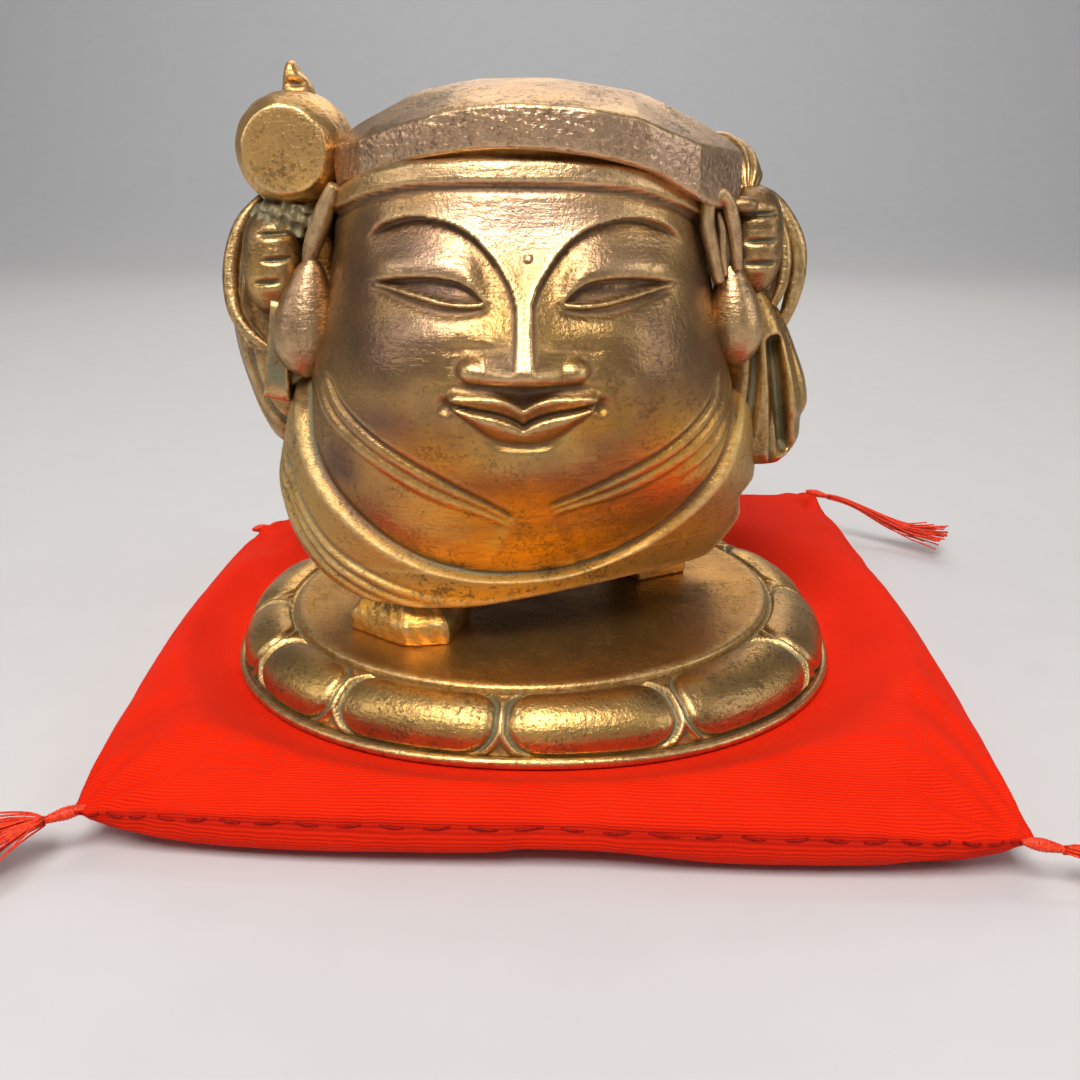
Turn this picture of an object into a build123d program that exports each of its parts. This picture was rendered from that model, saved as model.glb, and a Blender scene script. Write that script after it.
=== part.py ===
from build123d import *
import math
import os

os.makedirs("parts", exist_ok=True)

# A cast bronze lucky-god figure of the round daruma kind.  It stands on a lotus-petal base,
# and the base rests in the dent of a small square cushion with a tassel at each corner.
# Millimetres, +Z up.  The origin is on the table, under the middle of the lotus base.
# The figure looks along -Y, and its right hand is on the -X side.

# ---------------------------------------------------------------- cushion
cushion_width = 150.0
cushion_depth = 146.0
cushion_centre = (3.0, 6.0)
seam_height = 8.0
crown_height = 15.5
crown_inset = 14.0
floor_inset = 10.0
cloth_thickness = 0.6
side_pull_in = 2.5
dent_floor_height = 10.0
dent_clearance = 0.5

# How far each corner of the soft cushion is pulled away from a true rectangle.
corner_pull = {
    "front_left": (0.6, 1.9),
    "front_right": (-1.7, -4.4),
    "back_right": (2.0, 11.0),
    "back_left": (-2.0, -13.0),
}
corner_signs = {
    "front_left": (-1, -1),
    "front_right": (1, -1),
    "back_right": (1, 1),
    "back_left": (-1, 1),
}

# ---------------------------------------------------------------- tassels and seam
binding_radius = 2.0
binding_length = 10.0
skein_length = 35.0
skein_end_radius = 4.5
tassel_root_gap = 2.6
tassel_end_lift = 0.3
tassel_bearing = {
    "front_left": 200.0,
    "front_right": -4.0,
    "back_right": -23.0,
    "back_left": 52.0,
}
stitch_length = 2.6
stitch_pitch = 4.6
stitch_thickness = 0.5
stitch_margin = 8.0

# ---------------------------------------------------------------- lotus base
base_half_width = 59.6
base_half_depth = 56.4
base_height = 10.2
lip_height = 1.7
lip_step = 1.7
petal_count = 12
petal_groove_width = 2.0
petal_groove_depth = 1.6
petal_first_bearing = -95.5
petal_ring_width = 12.3
deck_thickness = 4.2
deck_gap = 0.3
base_recess_depth = 2.0
base_foot_ring_width = 9.0

# ---------------------------------------------------------------- feet and their screws
foot_height = 6.8
foot_chamfer = 1.6
right_foot_toe = [(-34.0, -22.4), (-23.1, -30.6), (-16.9, -29.7), (-13.0, -15.0), (-27.5, -8.5)]
left_foot_toe = [(21.4, 2.1), (32.2, 8.2), (27.0, 19.5), (15.5, 14.5)]
right_foot_screw_at = (-23.0, -19.0)
left_foot_screw_at = (24.0, 11.0)
screw_radius = 2.0
screw_hole_clearance = 0.2
screw_thread_gap = 0.02
screw_head_radius = 3.5
screw_head_height = 1.2
washer_radius = 4.2
washer_thickness = 0.5
screw_bite = 3.4

# ---------------------------------------------------------------- body casting
body_centre_x = -3.0
body_centre_y = -3.0
body_bottom_above_deck = 3.8
body_height = 75.0
body_half_width = 46.0
body_half_depth = 37.0
body_wall = 3.5
body_floor = 4.0
core_opening_radius = 14.0

# Share of the body's height, of its half width and of its half depth at each level.
body_levels = [
    (0.00, 0.66, 0.55),
    (0.10, 0.87, 0.79),
    (0.28, 1.00, 0.95),
    (0.48, 0.99, 1.00),
    (0.68, 0.94, 1.02),
    (0.85, 0.87, 0.98),
    (1.00, 0.80, 0.91),
]

# ---------------------------------------------------------------- hood
hood_height = 17.2
hood_wall = 4.0
hood_levels = [
    (0.00, 0.80, 0.91),
    (0.33, 0.82, 0.94),
    (0.62, 0.79, 0.90),
    (0.85, 0.67, 0.77),
    (1.00, 0.45, 0.52),
]
hood_hollow_share = 0.6
hood_pin_radius = 0.9
hood_pin_length = 9.0

# ---------------------------------------------------------------- arms, mallet and sack
# Sleeves, fists, mallet and sack are placed from the body: first how far out from the body's
# widest side, last how far up from the body's top.
arm_front_y = -8.0
arm_back_y = 13.0
right_sleeve = [(-19, -47), (-5, -48), (1, -40), (7.6, -21), (8, -11), (2.5, -5), (-19, -6)]
right_fist = (-1.5, -9.5, -13.0)
left_sleeve = [(-15, -51.5), (5, -51.5), (10.6, -40), (7.5, -21), (3.5, -11), (-15, -11)]
left_fist = (-1.5, -7.5, -10.5)
fist_size = (11.5, 13.0, 16.0)
fist_round = 3.0
dowel_radius = 1.5
dowel_length = 11.0
dowel_drop = 29.0
dowel_wall_share = 0.97

mallet_middle = (-6.4, -3.0, 5.6)
mallet_bulge_radius = 9.9
mallet_end_radius = 7.3
mallet_length = 24.0
mallet_handle_radius = 2.0
mallet_handle_clearance = 0.02
mallet_handle_drop = 20.5
mallet_knob_radius = 2.8
mallet_knob_rise = 20.3
mallet_handle_forward = 2.0

sack_middle = (-24.0, 25.0, -17.0)
sack_radius = 20.0
sack_neck_radius = 4.6
sack_neck_points = [(-7.0, 24.0, -7.0), (1.5, 13.0, -4.0), (-0.5, -7.0, -5.0)]

# ---------------------------------------------------------------- worked-out heights
base_bottom = dent_floor_height
base_flattening = base_half_depth / base_half_width
deck_half_width = base_half_width - petal_ring_width
deck_top = base_bottom + base_height
deck_bottom = deck_top - deck_thickness
web_bottom = base_bottom + base_recess_depth
foot_top = deck_top + foot_height
body_bottom = deck_top + body_bottom_above_deck
body_top = body_bottom + body_height
body_floor_top = foot_top + body_floor

right_side = -1
left_side = 1


def from_body(side, out, y, up):
    """A place measured out from the body's widest side and up from its top."""
    return Vector(body_centre_x + side * (body_half_width + out), y, body_top + up)


def write_part(solids, node):
    """Writes one node; a list becomes a group of separate solids."""
    shape = Compound(children=solids) if isinstance(solids, list) else solids
    shape.label = node
    export_step(shape, "parts/" + node + ".step")
    return shape


def as_solid(shape):
    """The one solid of a shape, whatever a boolean returned it as."""
    found = shape.solids()
    return max(found, key=lambda s: s.volume)


# ================================================================ cushion
def cushion_corner(name, inset):
    """A corner of the cushion's outline, moved in by inset along both sides."""
    sx, sy = corner_signs[name]
    px, py = corner_pull[name]
    x = cushion_centre[0] + sx * (cushion_width / 2 - inset) + px
    y = cushion_centre[1] + sy * (cushion_depth / 2 - inset) + py
    return Vector(x, y, 0)


def cushion_outline(height, inset):
    """A four-sided outline whose sides are shallow arcs that pull in between the corners."""
    names = ["front_left", "front_right", "back_right", "back_left"]
    middle = Vector(cushion_centre[0], cushion_centre[1], 0)
    corners = [cushion_corner(name, inset) for name in names]
    edges = []
    for index, start in enumerate(corners):
        end = corners[(index + 1) % 4]
        half_way = (start + end) * 0.5
        inward = (middle - half_way).normalized()
        edges.append(ThreePointArc(start, half_way + inward * side_pull_in, end))
    return Pos(0, 0, height) * make_face(edges)


def cushion_half(outer_height, outer_inset, skin):
    """The part of the cushion between the seam and its crown or its floor, less a skin."""
    level = outer_height - skin if outer_height > seam_height else outer_height + skin
    sections = [cushion_outline(seam_height, skin), cushion_outline(level, outer_inset + skin)]
    return as_solid(loft(sections, ruled=True))


def dent(skin):
    """The oval dent that the base sits in, grown by a skin."""
    grown = dent_clearance + skin
    oval = Ellipse(base_half_width + grown, base_half_depth + grown)
    depth = crown_height - dent_floor_height + skin
    return Pos(0, 0, dent_floor_height - skin) * extrude(oval, depth + 5)


top_full = cushion_half(crown_height, crown_inset, 0) - dent(0)
top_filling = cushion_half(crown_height, crown_inset, cloth_thickness) - dent(cloth_thickness)
bottom_full = cushion_half(0, floor_inset, 0)
bottom_filling = cushion_half(0, floor_inset, cloth_thickness)

cushion_cover_top = as_solid(top_full - top_filling)
cushion_cover_bottom = as_solid(bottom_full - bottom_filling)
cushion_wadding = as_solid(top_filling + bottom_filling)


# ================================================================ tassels and stitches
def tassel(name):
    """The whipped binding and the flared skein of one corner, lying down to the table."""
    sx, sy = corner_signs[name]
    root = cushion_corner(name, 0)
    root += Vector(sx, sy, 0).normalized() * tassel_root_gap
    root += Vector(0, 0, seam_height)
    bearing = math.radians(tassel_bearing[name])
    reach = binding_length + skein_length
    end_height = skein_end_radius + tassel_end_lift
    drop = seam_height - end_height
    level = math.sqrt(reach * reach - drop * drop)
    end = root + Vector(level * math.cos(bearing), level * math.sin(bearing), -drop)
    along = (end - root).normalized()
    upright = Align.CENTER, Align.CENTER, Align.MIN
    whipping = Plane(root, z_dir=along) * Cylinder(binding_radius, binding_length, align=upright)
    skein_root = root + along * binding_length
    flare = Plane(skein_root, z_dir=along)
    skein = flare * Cone(binding_radius * 0.8, skein_end_radius, skein_length, align=upright)
    return as_solid(whipping), as_solid(skein)


def seam_stitches():
    """Short threads laid along the front seam, a little outside it."""
    start = cushion_corner("front_left", 0)
    end = cushion_corner("front_right", 0)
    run = (end - start).length
    heading = math.degrees(math.atan2(end.Y - start.Y, end.X - start.X))
    count = int((run - 2 * stitch_margin) / stitch_pitch)
    first = (run - (count - 1) * stitch_pitch) / 2
    threads = []
    for index in range(count):
        share = (first + index * stitch_pitch) / run
        sag = side_pull_in * 4 * share * (1 - share)
        place = start + (end - start) * share
        outward = stitch_thickness - sag
        spot = Pos(place.X, place.Y - outward, seam_height) * Rot(0, 0, heading)
        threads.append(as_solid(spot * Box(stitch_length, stitch_thickness, stitch_thickness)))
    return threads


# ================================================================ lotus base
def lotus_ring():
    """The base casting: a turned form pressed a little oval, with a groove between petals."""
    shoulder = base_bottom + lip_height
    step_radius = base_half_width - lip_step
    inner = deck_half_width + deck_gap
    ring_inner = base_half_width - base_foot_ring_width
    crest_radius = (inner + step_radius) / 2
    with BuildPart() as ring:
        with BuildSketch(Plane.XZ):
            with BuildLine():
                Polyline(
                    (0, deck_bottom),
                    (0, web_bottom),
                    (ring_inner, web_bottom),
                    (ring_inner, base_bottom),
                    (base_half_width, base_bottom),
                    (base_half_width, shoulder),
                    (step_radius, shoulder + 0.6),
                )
                ThreePointArc(
                    (step_radius, shoulder + 0.6),
                    (crest_radius + 3.2, deck_top - 2.0),
                    (inner + 1.5, deck_top),
                )
                Polyline(
                    (inner + 1.5, deck_top),
                    (inner, deck_top - 0.6),
                    (inner, deck_bottom),
                    (0, deck_bottom),
                )
            make_face()
        revolve(axis=Axis.Z)
    petals = ring.part
    groove_start = step_radius - petal_groove_depth
    groove_length = 3 * petal_groove_depth
    for index in range(petal_count):
        bearing = petal_first_bearing + index * 360 / petal_count
        groove = Box(
            groove_length, petal_groove_width, base_height, align=(Align.MIN, Align.CENTER, Align.MIN)
        )
        petals -= Rot(0, 0, bearing) * (Pos(groove_start, 0, shoulder + 1.2) * groove)
        hollow = Box(groove_length, petal_groove_width, petal_groove_depth)
        petals -= Rot(0, 0, bearing) * (Pos(crest_radius, 0, deck_top - petal_groove_depth / 2) * hollow)
    return scale(petals, by=(1, base_flattening, 1))


def screw_hole(at, radius, low, high):
    """An upright hole at one screw."""
    return Pos(at[0], at[1], low) * Cylinder(
        radius, high - low, align=(Align.CENTER, Align.CENTER, Align.MIN)
    )


screw_places = [right_foot_screw_at, left_foot_screw_at]
lotus_base = lotus_ring()
deck_oval = Ellipse(deck_half_width, deck_half_width * base_flattening)
base_deck = Pos(0, 0, deck_bottom) * extrude(deck_oval, deck_thickness)
base_deck = chamfer(base_deck.edges().group_by(Axis.Z)[-1], 0.5)
for place in screw_places:
    passage = screw_hole(place, screw_radius + screw_hole_clearance, base_bottom, deck_top + 1)
    lotus_base -= passage
    base_deck -= passage
lotus_base = as_solid(lotus_base)
base_deck = as_solid(base_deck)


# ================================================================ feet
def foot(outline, screw_at):
    """A faceted block that stands on the deck and goes up into the body's pocket."""
    block = Pos(0, 0, deck_top) * extrude(make_face(Polyline(*outline, close=True)), foot_height)
    block = chamfer(block.edges().group_by(Axis.Z)[-1], foot_chamfer)
    hole_radius = screw_radius + screw_hole_clearance
    return as_solid(block - screw_hole(screw_at, hole_radius, deck_top - 1, foot_top + 1))


foot_right = foot(right_foot_toe, right_foot_screw_at)
foot_left = foot(left_foot_toe, left_foot_screw_at)


def foot_screw(at):
    """A screw put in from under the base, through deck and foot into the body's floor."""
    upright = Align.CENTER, Align.CENTER, Align.MIN
    head_bottom = web_bottom - washer_thickness - screw_head_height
    head = Pos(at[0], at[1], head_bottom) * Cylinder(screw_head_radius, screw_head_height, align=upright)
    slot = Pos(at[0], at[1], head_bottom) * Box(2 * screw_head_radius, 0.9, 0.6, align=upright)
    shank_length = foot_top + screw_bite - head_bottom
    shank = Pos(at[0], at[1], head_bottom) * Cylinder(screw_radius, shank_length, align=upright)
    return as_solid(head + shank - slot)


def foot_washer(at):
    """A flat ring between the screw's head and the base."""
    upright = Align.CENTER, Align.CENTER, Align.MIN
    low = web_bottom - washer_thickness
    disc = Pos(at[0], at[1], low) * Cylinder(washer_radius, washer_thickness, align=upright)
    return as_solid(disc - screw_hole(at, screw_radius + screw_hole_clearance, low - 1, web_bottom + 1))


# ================================================================ body and hood
def stacked_ovals(levels, bottom, height, inset, low_share, high_share):
    """A smooth solid through ovals; each level is a share of the height and of the half sizes."""
    sections = []
    for share, wide, deep in levels:
        if low_share <= share <= high_share:
            oval = Ellipse(wide * body_half_width - inset, deep * body_half_depth - inset)
            sections.append(Pos(body_centre_x, body_centre_y, bottom + share * height) * oval)
    return as_solid(loft(sections))


body_outer = stacked_ovals(body_levels, body_bottom, body_height, 0, 0, 1)
body_cavity = stacked_ovals(body_levels, body_bottom, body_height, body_wall, 0, 1)
cavity_height = body_height - body_wall - (body_floor_top - body_bottom)
cavity_window = Pos(body_centre_x, body_centre_y, body_floor_top) * Box(
    3 * body_half_width, 3 * body_half_depth, cavity_height, align=(Align.CENTER, Align.CENTER, Align.MIN)
)
core_opening = Pos(body_centre_x, body_centre_y, body_top - body_wall - 1) * Cylinder(
    core_opening_radius, body_wall + 2, align=(Align.CENTER, Align.CENTER, Align.MIN)
)
body_shell = body_outer - (body_cavity & cavity_window) - core_opening
for outline in (right_foot_toe, left_foot_toe):
    pocket = extrude(make_face(Polyline(*outline, close=True)), foot_top)
    body_shell -= pocket
for place in screw_places:
    body_shell -= screw_hole(place, screw_radius + screw_thread_gap, body_bottom, body_floor_top + 1)

hood_outer = stacked_ovals(hood_levels, body_top, hood_height, 0, 0, 1)
hood_inner = stacked_ovals(hood_levels, body_top, hood_height, hood_wall, 0, 1)
hood_window = Pos(body_centre_x, body_centre_y, body_top) * Box(
    3 * body_half_width,
    3 * body_half_depth,
    hood_height * hood_hollow_share,
    align=(Align.CENTER, Align.CENTER, Align.MIN),
)
hood = hood_outer - (hood_inner & hood_window)


def hood_pin(side):
    """An upright pin half in the body's rim and half in the hood's."""
    reach = hood_levels[0][2] * body_half_depth - body_wall / 2
    spot = Pos(body_centre_x, body_centre_y + side * reach, body_top)
    return as_solid(spot * Cylinder(hood_pin_radius, hood_pin_length))


hood_pins = [hood_pin(-1), hood_pin(1)]
for pin in hood_pins:
    body_shell -= pin
    hood -= pin
hood = as_solid(hood)


# ================================================================ arms, mallet and sack
def arm(side, sleeve, fist):
    """A sleeve cut to the body's side, with its fist in front of it."""
    corners = [from_body(side, out, arm_back_y, up) for out, up in sleeve]
    face = make_face(Polyline(*corners, close=True))
    plate = extrude(face, arm_back_y - arm_front_y, dir=(0, -1, 0))
    hand = Box(*fist_size)
    hand = fillet(hand.edges(), fist_round)
    centre = from_body(side, *fist)
    hand = Pos(centre.X, centre.Y, centre.Z) * hand
    return as_solid(plate + hand - body_outer - hood_outer)


def arm_dowel(side):
    """A level pin from the body's wall into the sleeve."""
    wall_at = body_centre_x + side * body_half_width * dowel_wall_share
    middle_y = (arm_front_y + arm_back_y) / 2
    spot = Pos(wall_at, middle_y, body_top - dowel_drop)
    return as_solid(spot * Rot(0, 90, 0) * Cylinder(dowel_radius, dowel_length))


arm_right = arm(right_side, right_sleeve, right_fist)
arm_left = arm(left_side, left_sleeve, left_fist)
arm_dowels = [arm_dowel(right_side), arm_dowel(left_side)]
for pin in arm_dowels:
    body_shell -= pin
    arm_right -= pin
    arm_left -= pin
body_shell = as_solid(body_shell)


mallet_centre = from_body(right_side, *mallet_middle)


def mallet_barrel():
    """A barrel that bulges in the middle, lying front to back."""
    half = mallet_length / 2
    with BuildPart() as barrel:
        with BuildSketch(Plane.XZ):
            with BuildLine():
                Polyline((0, -half), (mallet_end_radius, -half))
                ThreePointArc((mallet_end_radius, -half), (mallet_bulge_radius, 0), (mallet_end_radius, half))
                Polyline((mallet_end_radius, half), (0, half), (0, -half))
            make_face()
        revolve(axis=Axis.Z)
    return Pos(mallet_centre.X, mallet_centre.Y, mallet_centre.Z) * Rot(90, 0, 0) * barrel.part


def mallet_stick(radius, knob):
    """The handle from inside the fist up through the barrel, ending in a knob."""
    upright = Align.CENTER, Align.CENTER, Align.MIN
    handle_bottom = body_top - mallet_handle_drop
    collar_height = mallet_centre.Z + mallet_bulge_radius
    at = Pos(mallet_centre.X, mallet_centre.Y - mallet_handle_forward, handle_bottom)
    stick = at * Cylinder(radius, collar_height - handle_bottom, align=upright)
    if knob:
        knob_height = body_top + mallet_knob_rise - collar_height
        top = Cone(mallet_knob_radius, mallet_knob_radius * 0.4, knob_height, align=upright)
        stick += at * Pos(0, 0, collar_height - handle_bottom) * top
    return stick


mallet_handle = as_solid(mallet_stick(mallet_handle_radius, True) - body_outer - hood_outer)
handle_passage = mallet_stick(mallet_handle_radius + mallet_handle_clearance, False)
mallet_head = as_solid(mallet_barrel() - handle_passage - hood_outer - body_outer)
arm_right = as_solid(arm_right - handle_passage - mallet_barrel())


def sack_bag():
    """A full round bag on the back, its neck drawn over the shoulder to the left fist."""
    centre = from_body(left_side, *sack_middle)
    bag = Pos(centre.X, centre.Y, centre.Z) * Sphere(sack_radius)
    points = [from_body(left_side, *point) for point in sack_neck_points]
    for start, end in zip(points[:-1], points[1:]):
        run = end - start
        rope = Cylinder(sack_neck_radius, run.length, align=(Align.CENTER, Align.CENTER, Align.MIN))
        bag += Plane(start, z_dir=run.normalized()) * rope
    for point in points:
        bag += Pos(point.X, point.Y, point.Z) * Sphere(sack_neck_radius)
    return bag


sack = as_solid(sack_bag() - body_outer - hood_outer - arm_left)

# ================================================================ write the nodes
write_part(cushion_cover_top, "cushion_cover_top")
write_part(cushion_cover_bottom, "cushion_cover_bottom")
write_part(cushion_wadding, "cushion_wadding")
write_part(seam_stitches(), "closing_stitches")
for corner_name in corner_signs:
    binding, skein = tassel(corner_name)
    write_part(binding, "tassel_binding_" + corner_name)
    write_part(skein, "tassel_skein_" + corner_name)
write_part(lotus_base, "lotus_base")
write_part(base_deck, "base_deck")
write_part(foot_right, "foot_right")
write_part(foot_left, "foot_left")
write_part([foot_screw(place) for place in screw_places], "foot_screws")
write_part([foot_washer(place) for place in screw_places], "foot_washers")
write_part(body_shell, "body_shell")
write_part(hood, "hood")
write_part(hood_pins, "hood_pins")
write_part(arm_right, "arm_right")
write_part(arm_left, "arm_left")
write_part(arm_dowels, "arm_dowels")
write_part(mallet_head, "mallet_head")
write_part(mallet_handle, "mallet_handle")
write_part(sack, "sack")
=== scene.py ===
"""Looks of a round cast bronze lucky-god doll on its lotus base and tasselled cushion.

Sizes inside the classes are millimetres in the model's own frame; meshes are written in metres.
A bearing is an angle round the figure: 0 is its front, -Y, and +90 degrees is its left side, +X.
"""

import logging
import math
from dataclasses import dataclass
from enum import Enum

import bpy
import numpy as np
from mathutils import Matrix, Vector


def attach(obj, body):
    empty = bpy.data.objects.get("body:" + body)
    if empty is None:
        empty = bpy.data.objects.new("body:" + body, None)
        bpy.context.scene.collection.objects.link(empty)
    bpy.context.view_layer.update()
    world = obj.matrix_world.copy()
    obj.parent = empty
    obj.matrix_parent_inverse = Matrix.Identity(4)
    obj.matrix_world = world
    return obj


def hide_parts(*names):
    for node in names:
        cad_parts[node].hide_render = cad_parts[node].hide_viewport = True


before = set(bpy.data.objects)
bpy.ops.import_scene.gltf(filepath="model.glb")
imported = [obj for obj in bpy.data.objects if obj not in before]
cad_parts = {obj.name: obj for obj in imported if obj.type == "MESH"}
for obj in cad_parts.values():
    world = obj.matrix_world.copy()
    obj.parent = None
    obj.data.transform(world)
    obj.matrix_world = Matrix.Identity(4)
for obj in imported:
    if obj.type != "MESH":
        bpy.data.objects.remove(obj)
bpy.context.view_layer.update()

MM = 0.001
FULL_TURN = 2.0 * math.pi
Points = list[tuple[float, ...]]
log = logging.getLogger("doll")


class Body(Enum):
    """The two bodies that part when the figure is lifted."""

    CUSHION = "cushion"
    FIGURE = "figure"


# ---- shape helpers
def ease(low: float, high: float, value: np.ndarray) -> np.ndarray:
    """A smooth step from 0 at low to 1 at high: 3t^2 - 2t^3 of the clipped share t."""
    t = np.clip((value - low) / (high - low), 0.0, 1.0)
    return t * t * (3.0 - 2.0 * t)


def swell(distance: np.ndarray, width: float) -> np.ndarray:
    """A bell of height 1: exp of minus the square of distance over width."""
    return np.exp(-np.square(distance / width))


def through(knots: Points, column: int, value: np.ndarray) -> np.ndarray:
    """A smooth curve through given knots, read at many values.

    Cubic Hermite pieces whose slope at a knot is that of the chord between its neighbours.

    Args:
        knots: rows whose first number is the place and whose others are sizes there.
        column: which size to read.
        value: places to read at; outside the knots the end size holds.

    Returns:
        The size at each place.
    """
    table = np.array(knots, float)
    x, y = table[:, 0], table[:, column]
    slope = np.gradient(y, x)
    at = np.clip(value, x[0], x[-1])
    left = np.clip(np.searchsorted(x, at, side="right") - 1, 0, len(x) - 2)
    span = x[left + 1] - x[left]
    t = (at - x[left]) / span
    rise = (1 + 2 * t) * (1 - t) ** 2 * y[left] + t * (1 - t) ** 2 * span * slope[left]
    return rise + t * t * (3 - 2 * t) * y[left + 1] + t * t * (t - 1) * span * slope[left + 1]


def drawn(points: Points, count: int = 64) -> np.ndarray:
    """A smooth line through given points, evenly parted in count points.

    Args:
        points: the places that the line runs through.
        count: how many places to return.

    Returns:
        The line, count rows.
    """
    raw = np.array(points, float)
    share = np.concatenate([[0.0], np.cumsum(np.linalg.norm(np.diff(raw, axis=0), axis=1))])
    share /= share[-1]
    table = np.column_stack([share, raw])
    at = np.linspace(0.0, 1.0, count)
    return np.column_stack([through(table, column + 1, at) for column in range(raw.shape[1])])


def beside(line: np.ndarray, x: np.ndarray, z: np.ndarray, reach: float) -> tuple[np.ndarray, np.ndarray]:
    """Signed distance of each place to a line, and how far along the line its nearest point is.

    The distance to every straight piece of the line is taken and the least is kept; its sign is
    that of the cross product with that piece, so it is positive on the line's left.

    Args:
        line: points of the line, two columns.
        x: first coordinate of the places.
        z: second coordinate of the places.
        reach: places further than this from the line's box are given this distance.

    Returns:
        Signed distance and share along the line, both shaped as x.
    """
    low, high = line.min(0) - reach, line.max(0) + reach
    near = (x > low[0]) & (x < high[0]) & (z > low[1]) & (z < high[1])
    px, pz = x[near][:, None], z[near][:, None]
    start, run = line[:-1], np.diff(line, axis=0)
    square = (run**2).sum(1)
    t = np.clip(((px - start[:, 0]) * run[:, 0] + (pz - start[:, 1]) * run[:, 1]) / square, 0, 1)
    dx = px - start[:, 0] - t * run[:, 0]
    dz = pz - start[:, 1] - t * run[:, 1]
    gap = np.hypot(dx, dz)
    best = gap.argmin(1)
    row = np.arange(len(best))
    cross = run[best, 0] * dz[row, best] - run[best, 1] * dx[row, best]
    distance = np.full(x.shape, reach)
    share = np.zeros(x.shape)
    distance[near] = gap[row, best] * np.where(cross >= 0, 1.0, -1.0)
    share[near] = (best + t[row, best]) / len(run)
    return distance, share


def flat_sided(bearing: np.ndarray, corners: Points) -> np.ndarray:
    """Distance from the middle to a convex outline: the least of its sides' distances over cosine.

    Args:
        bearing: angles round the middle, in radians.
        corners: outline corners (x, y) about the middle, anticlockwise seen from above.

    Returns:
        The outline's distance at each bearing.
    """
    ring = np.array(corners, float)
    side = np.roll(ring, -1, axis=0) - ring
    normal = np.column_stack([side[:, 1], -side[:, 0]])
    normal /= np.linalg.norm(normal, axis=1)[:, None]
    off = (normal * ring).sum(1)
    look = np.stack([np.sin(bearing), -np.cos(bearing)], -1)
    facing = look @ normal.T
    return np.where(facing > 1e-6, off / np.maximum(facing, 1e-6), 1e9).min(-1)


def blurred(field: np.ndarray, passes: int, wrap: bool) -> np.ndarray:
    """A field averaged again and again with its neighbours along both grid directions.

    Args:
        field: rows by columns of numbers.
        passes: how often to average.
        wrap: whether the columns close on themselves.

    Returns:
        The blurred field.
    """
    out = field.copy()
    for _ in range(passes):
        padded = np.pad(out, ((1, 1), (0, 0)), mode="edge")
        out = (padded[:-2] + 2 * out + padded[2:]) / 4
        mode = "wrap" if wrap else "edge"
        padded = np.pad(out, ((0, 0), (1, 1)), mode=mode)
        out = (padded[:, :-2] + 2 * out + padded[:, 2:]) / 4
    return out


def relief_marks(points: np.ndarray, wrap: bool, passes: int = 10) -> tuple[np.ndarray, np.ndarray]:
    """How hollow and how proud each place of a surface is.

    The surface less its own blurred copy, along its normal, is negative in grooves and positive on
    edges; both are scaled to 0..1.

    Args:
        points: grid of places, rows by columns by 3, in millimetres.
        wrap: whether the columns close on themselves.
        passes: how wide the blur is.

    Returns:
        (hollow, proud), each rows by columns.
    """
    smooth_copy = np.stack([blurred(points[..., k], passes, wrap) for k in range(3)], -1)
    along = np.gradient(smooth_copy, axis=0)
    if wrap:
        across = (np.roll(smooth_copy, -1, axis=1) - np.roll(smooth_copy, 1, axis=1)) / 2
    else:
        across = np.gradient(smooth_copy, axis=1)
    normal = np.cross(across, along)
    normal /= np.maximum(np.linalg.norm(normal, axis=-1, keepdims=True), 1e-9)
    outward = points - points.reshape(-1, 3).mean(0)
    if (normal * outward).sum() < 0:
        normal = -normal
    height = ((points - smooth_copy) * normal).sum(-1)
    return np.clip(-height / 0.24 - 0.08, 0, 1), np.clip(height / 0.2 - 0.1, 0, 1)


# ---- mesh helpers
def grid_faces(rows: int, columns: int, wrap: bool) -> np.ndarray:
    """The four-sided faces of a grid of points numbered row by row.

    Args:
        rows: rows of points.
        columns: points in a row.
        wrap: whether each row closes on itself.

    Returns:
        Point numbers of each face, four to a row.
    """
    last = columns if wrap else columns - 1
    row, column = np.meshgrid(np.arange(rows - 1), np.arange(last), indexing="ij")
    right = (column + 1) % columns
    corners = [row * columns + column, row * columns + right]
    corners += [(row + 1) * columns + right, (row + 1) * columns + column]
    return np.stack(corners, -1).reshape(-1, 4)


def new_object(name: str, points: np.ndarray, faces: list) -> bpy.types.Object:
    """A smooth-shaded mesh object from places in millimetres and faces.

    Args:
        name: what to call it.
        points: places in millimetres.
        faces: point numbers of each face.

    Returns:
        The object.
    """
    mesh = bpy.data.meshes.new(name)
    mesh.from_pydata((points * MM).tolist(), [], faces)
    mesh.validate()
    mesh.polygons.foreach_set("use_smooth", np.ones(len(mesh.polygons), bool))
    mesh.update()
    made = bpy.data.objects.new(name, mesh)
    bpy.context.scene.collection.objects.link(made)
    return made


def note(made: bpy.types.Object, name: str, values: np.ndarray) -> None:
    """Stores one number for each point of a mesh, for its material to read."""
    layer = made.data.attributes.new(name, "FLOAT", "POINT")
    layer.data.foreach_set("value", values.astype(np.float32).ravel())


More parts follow.
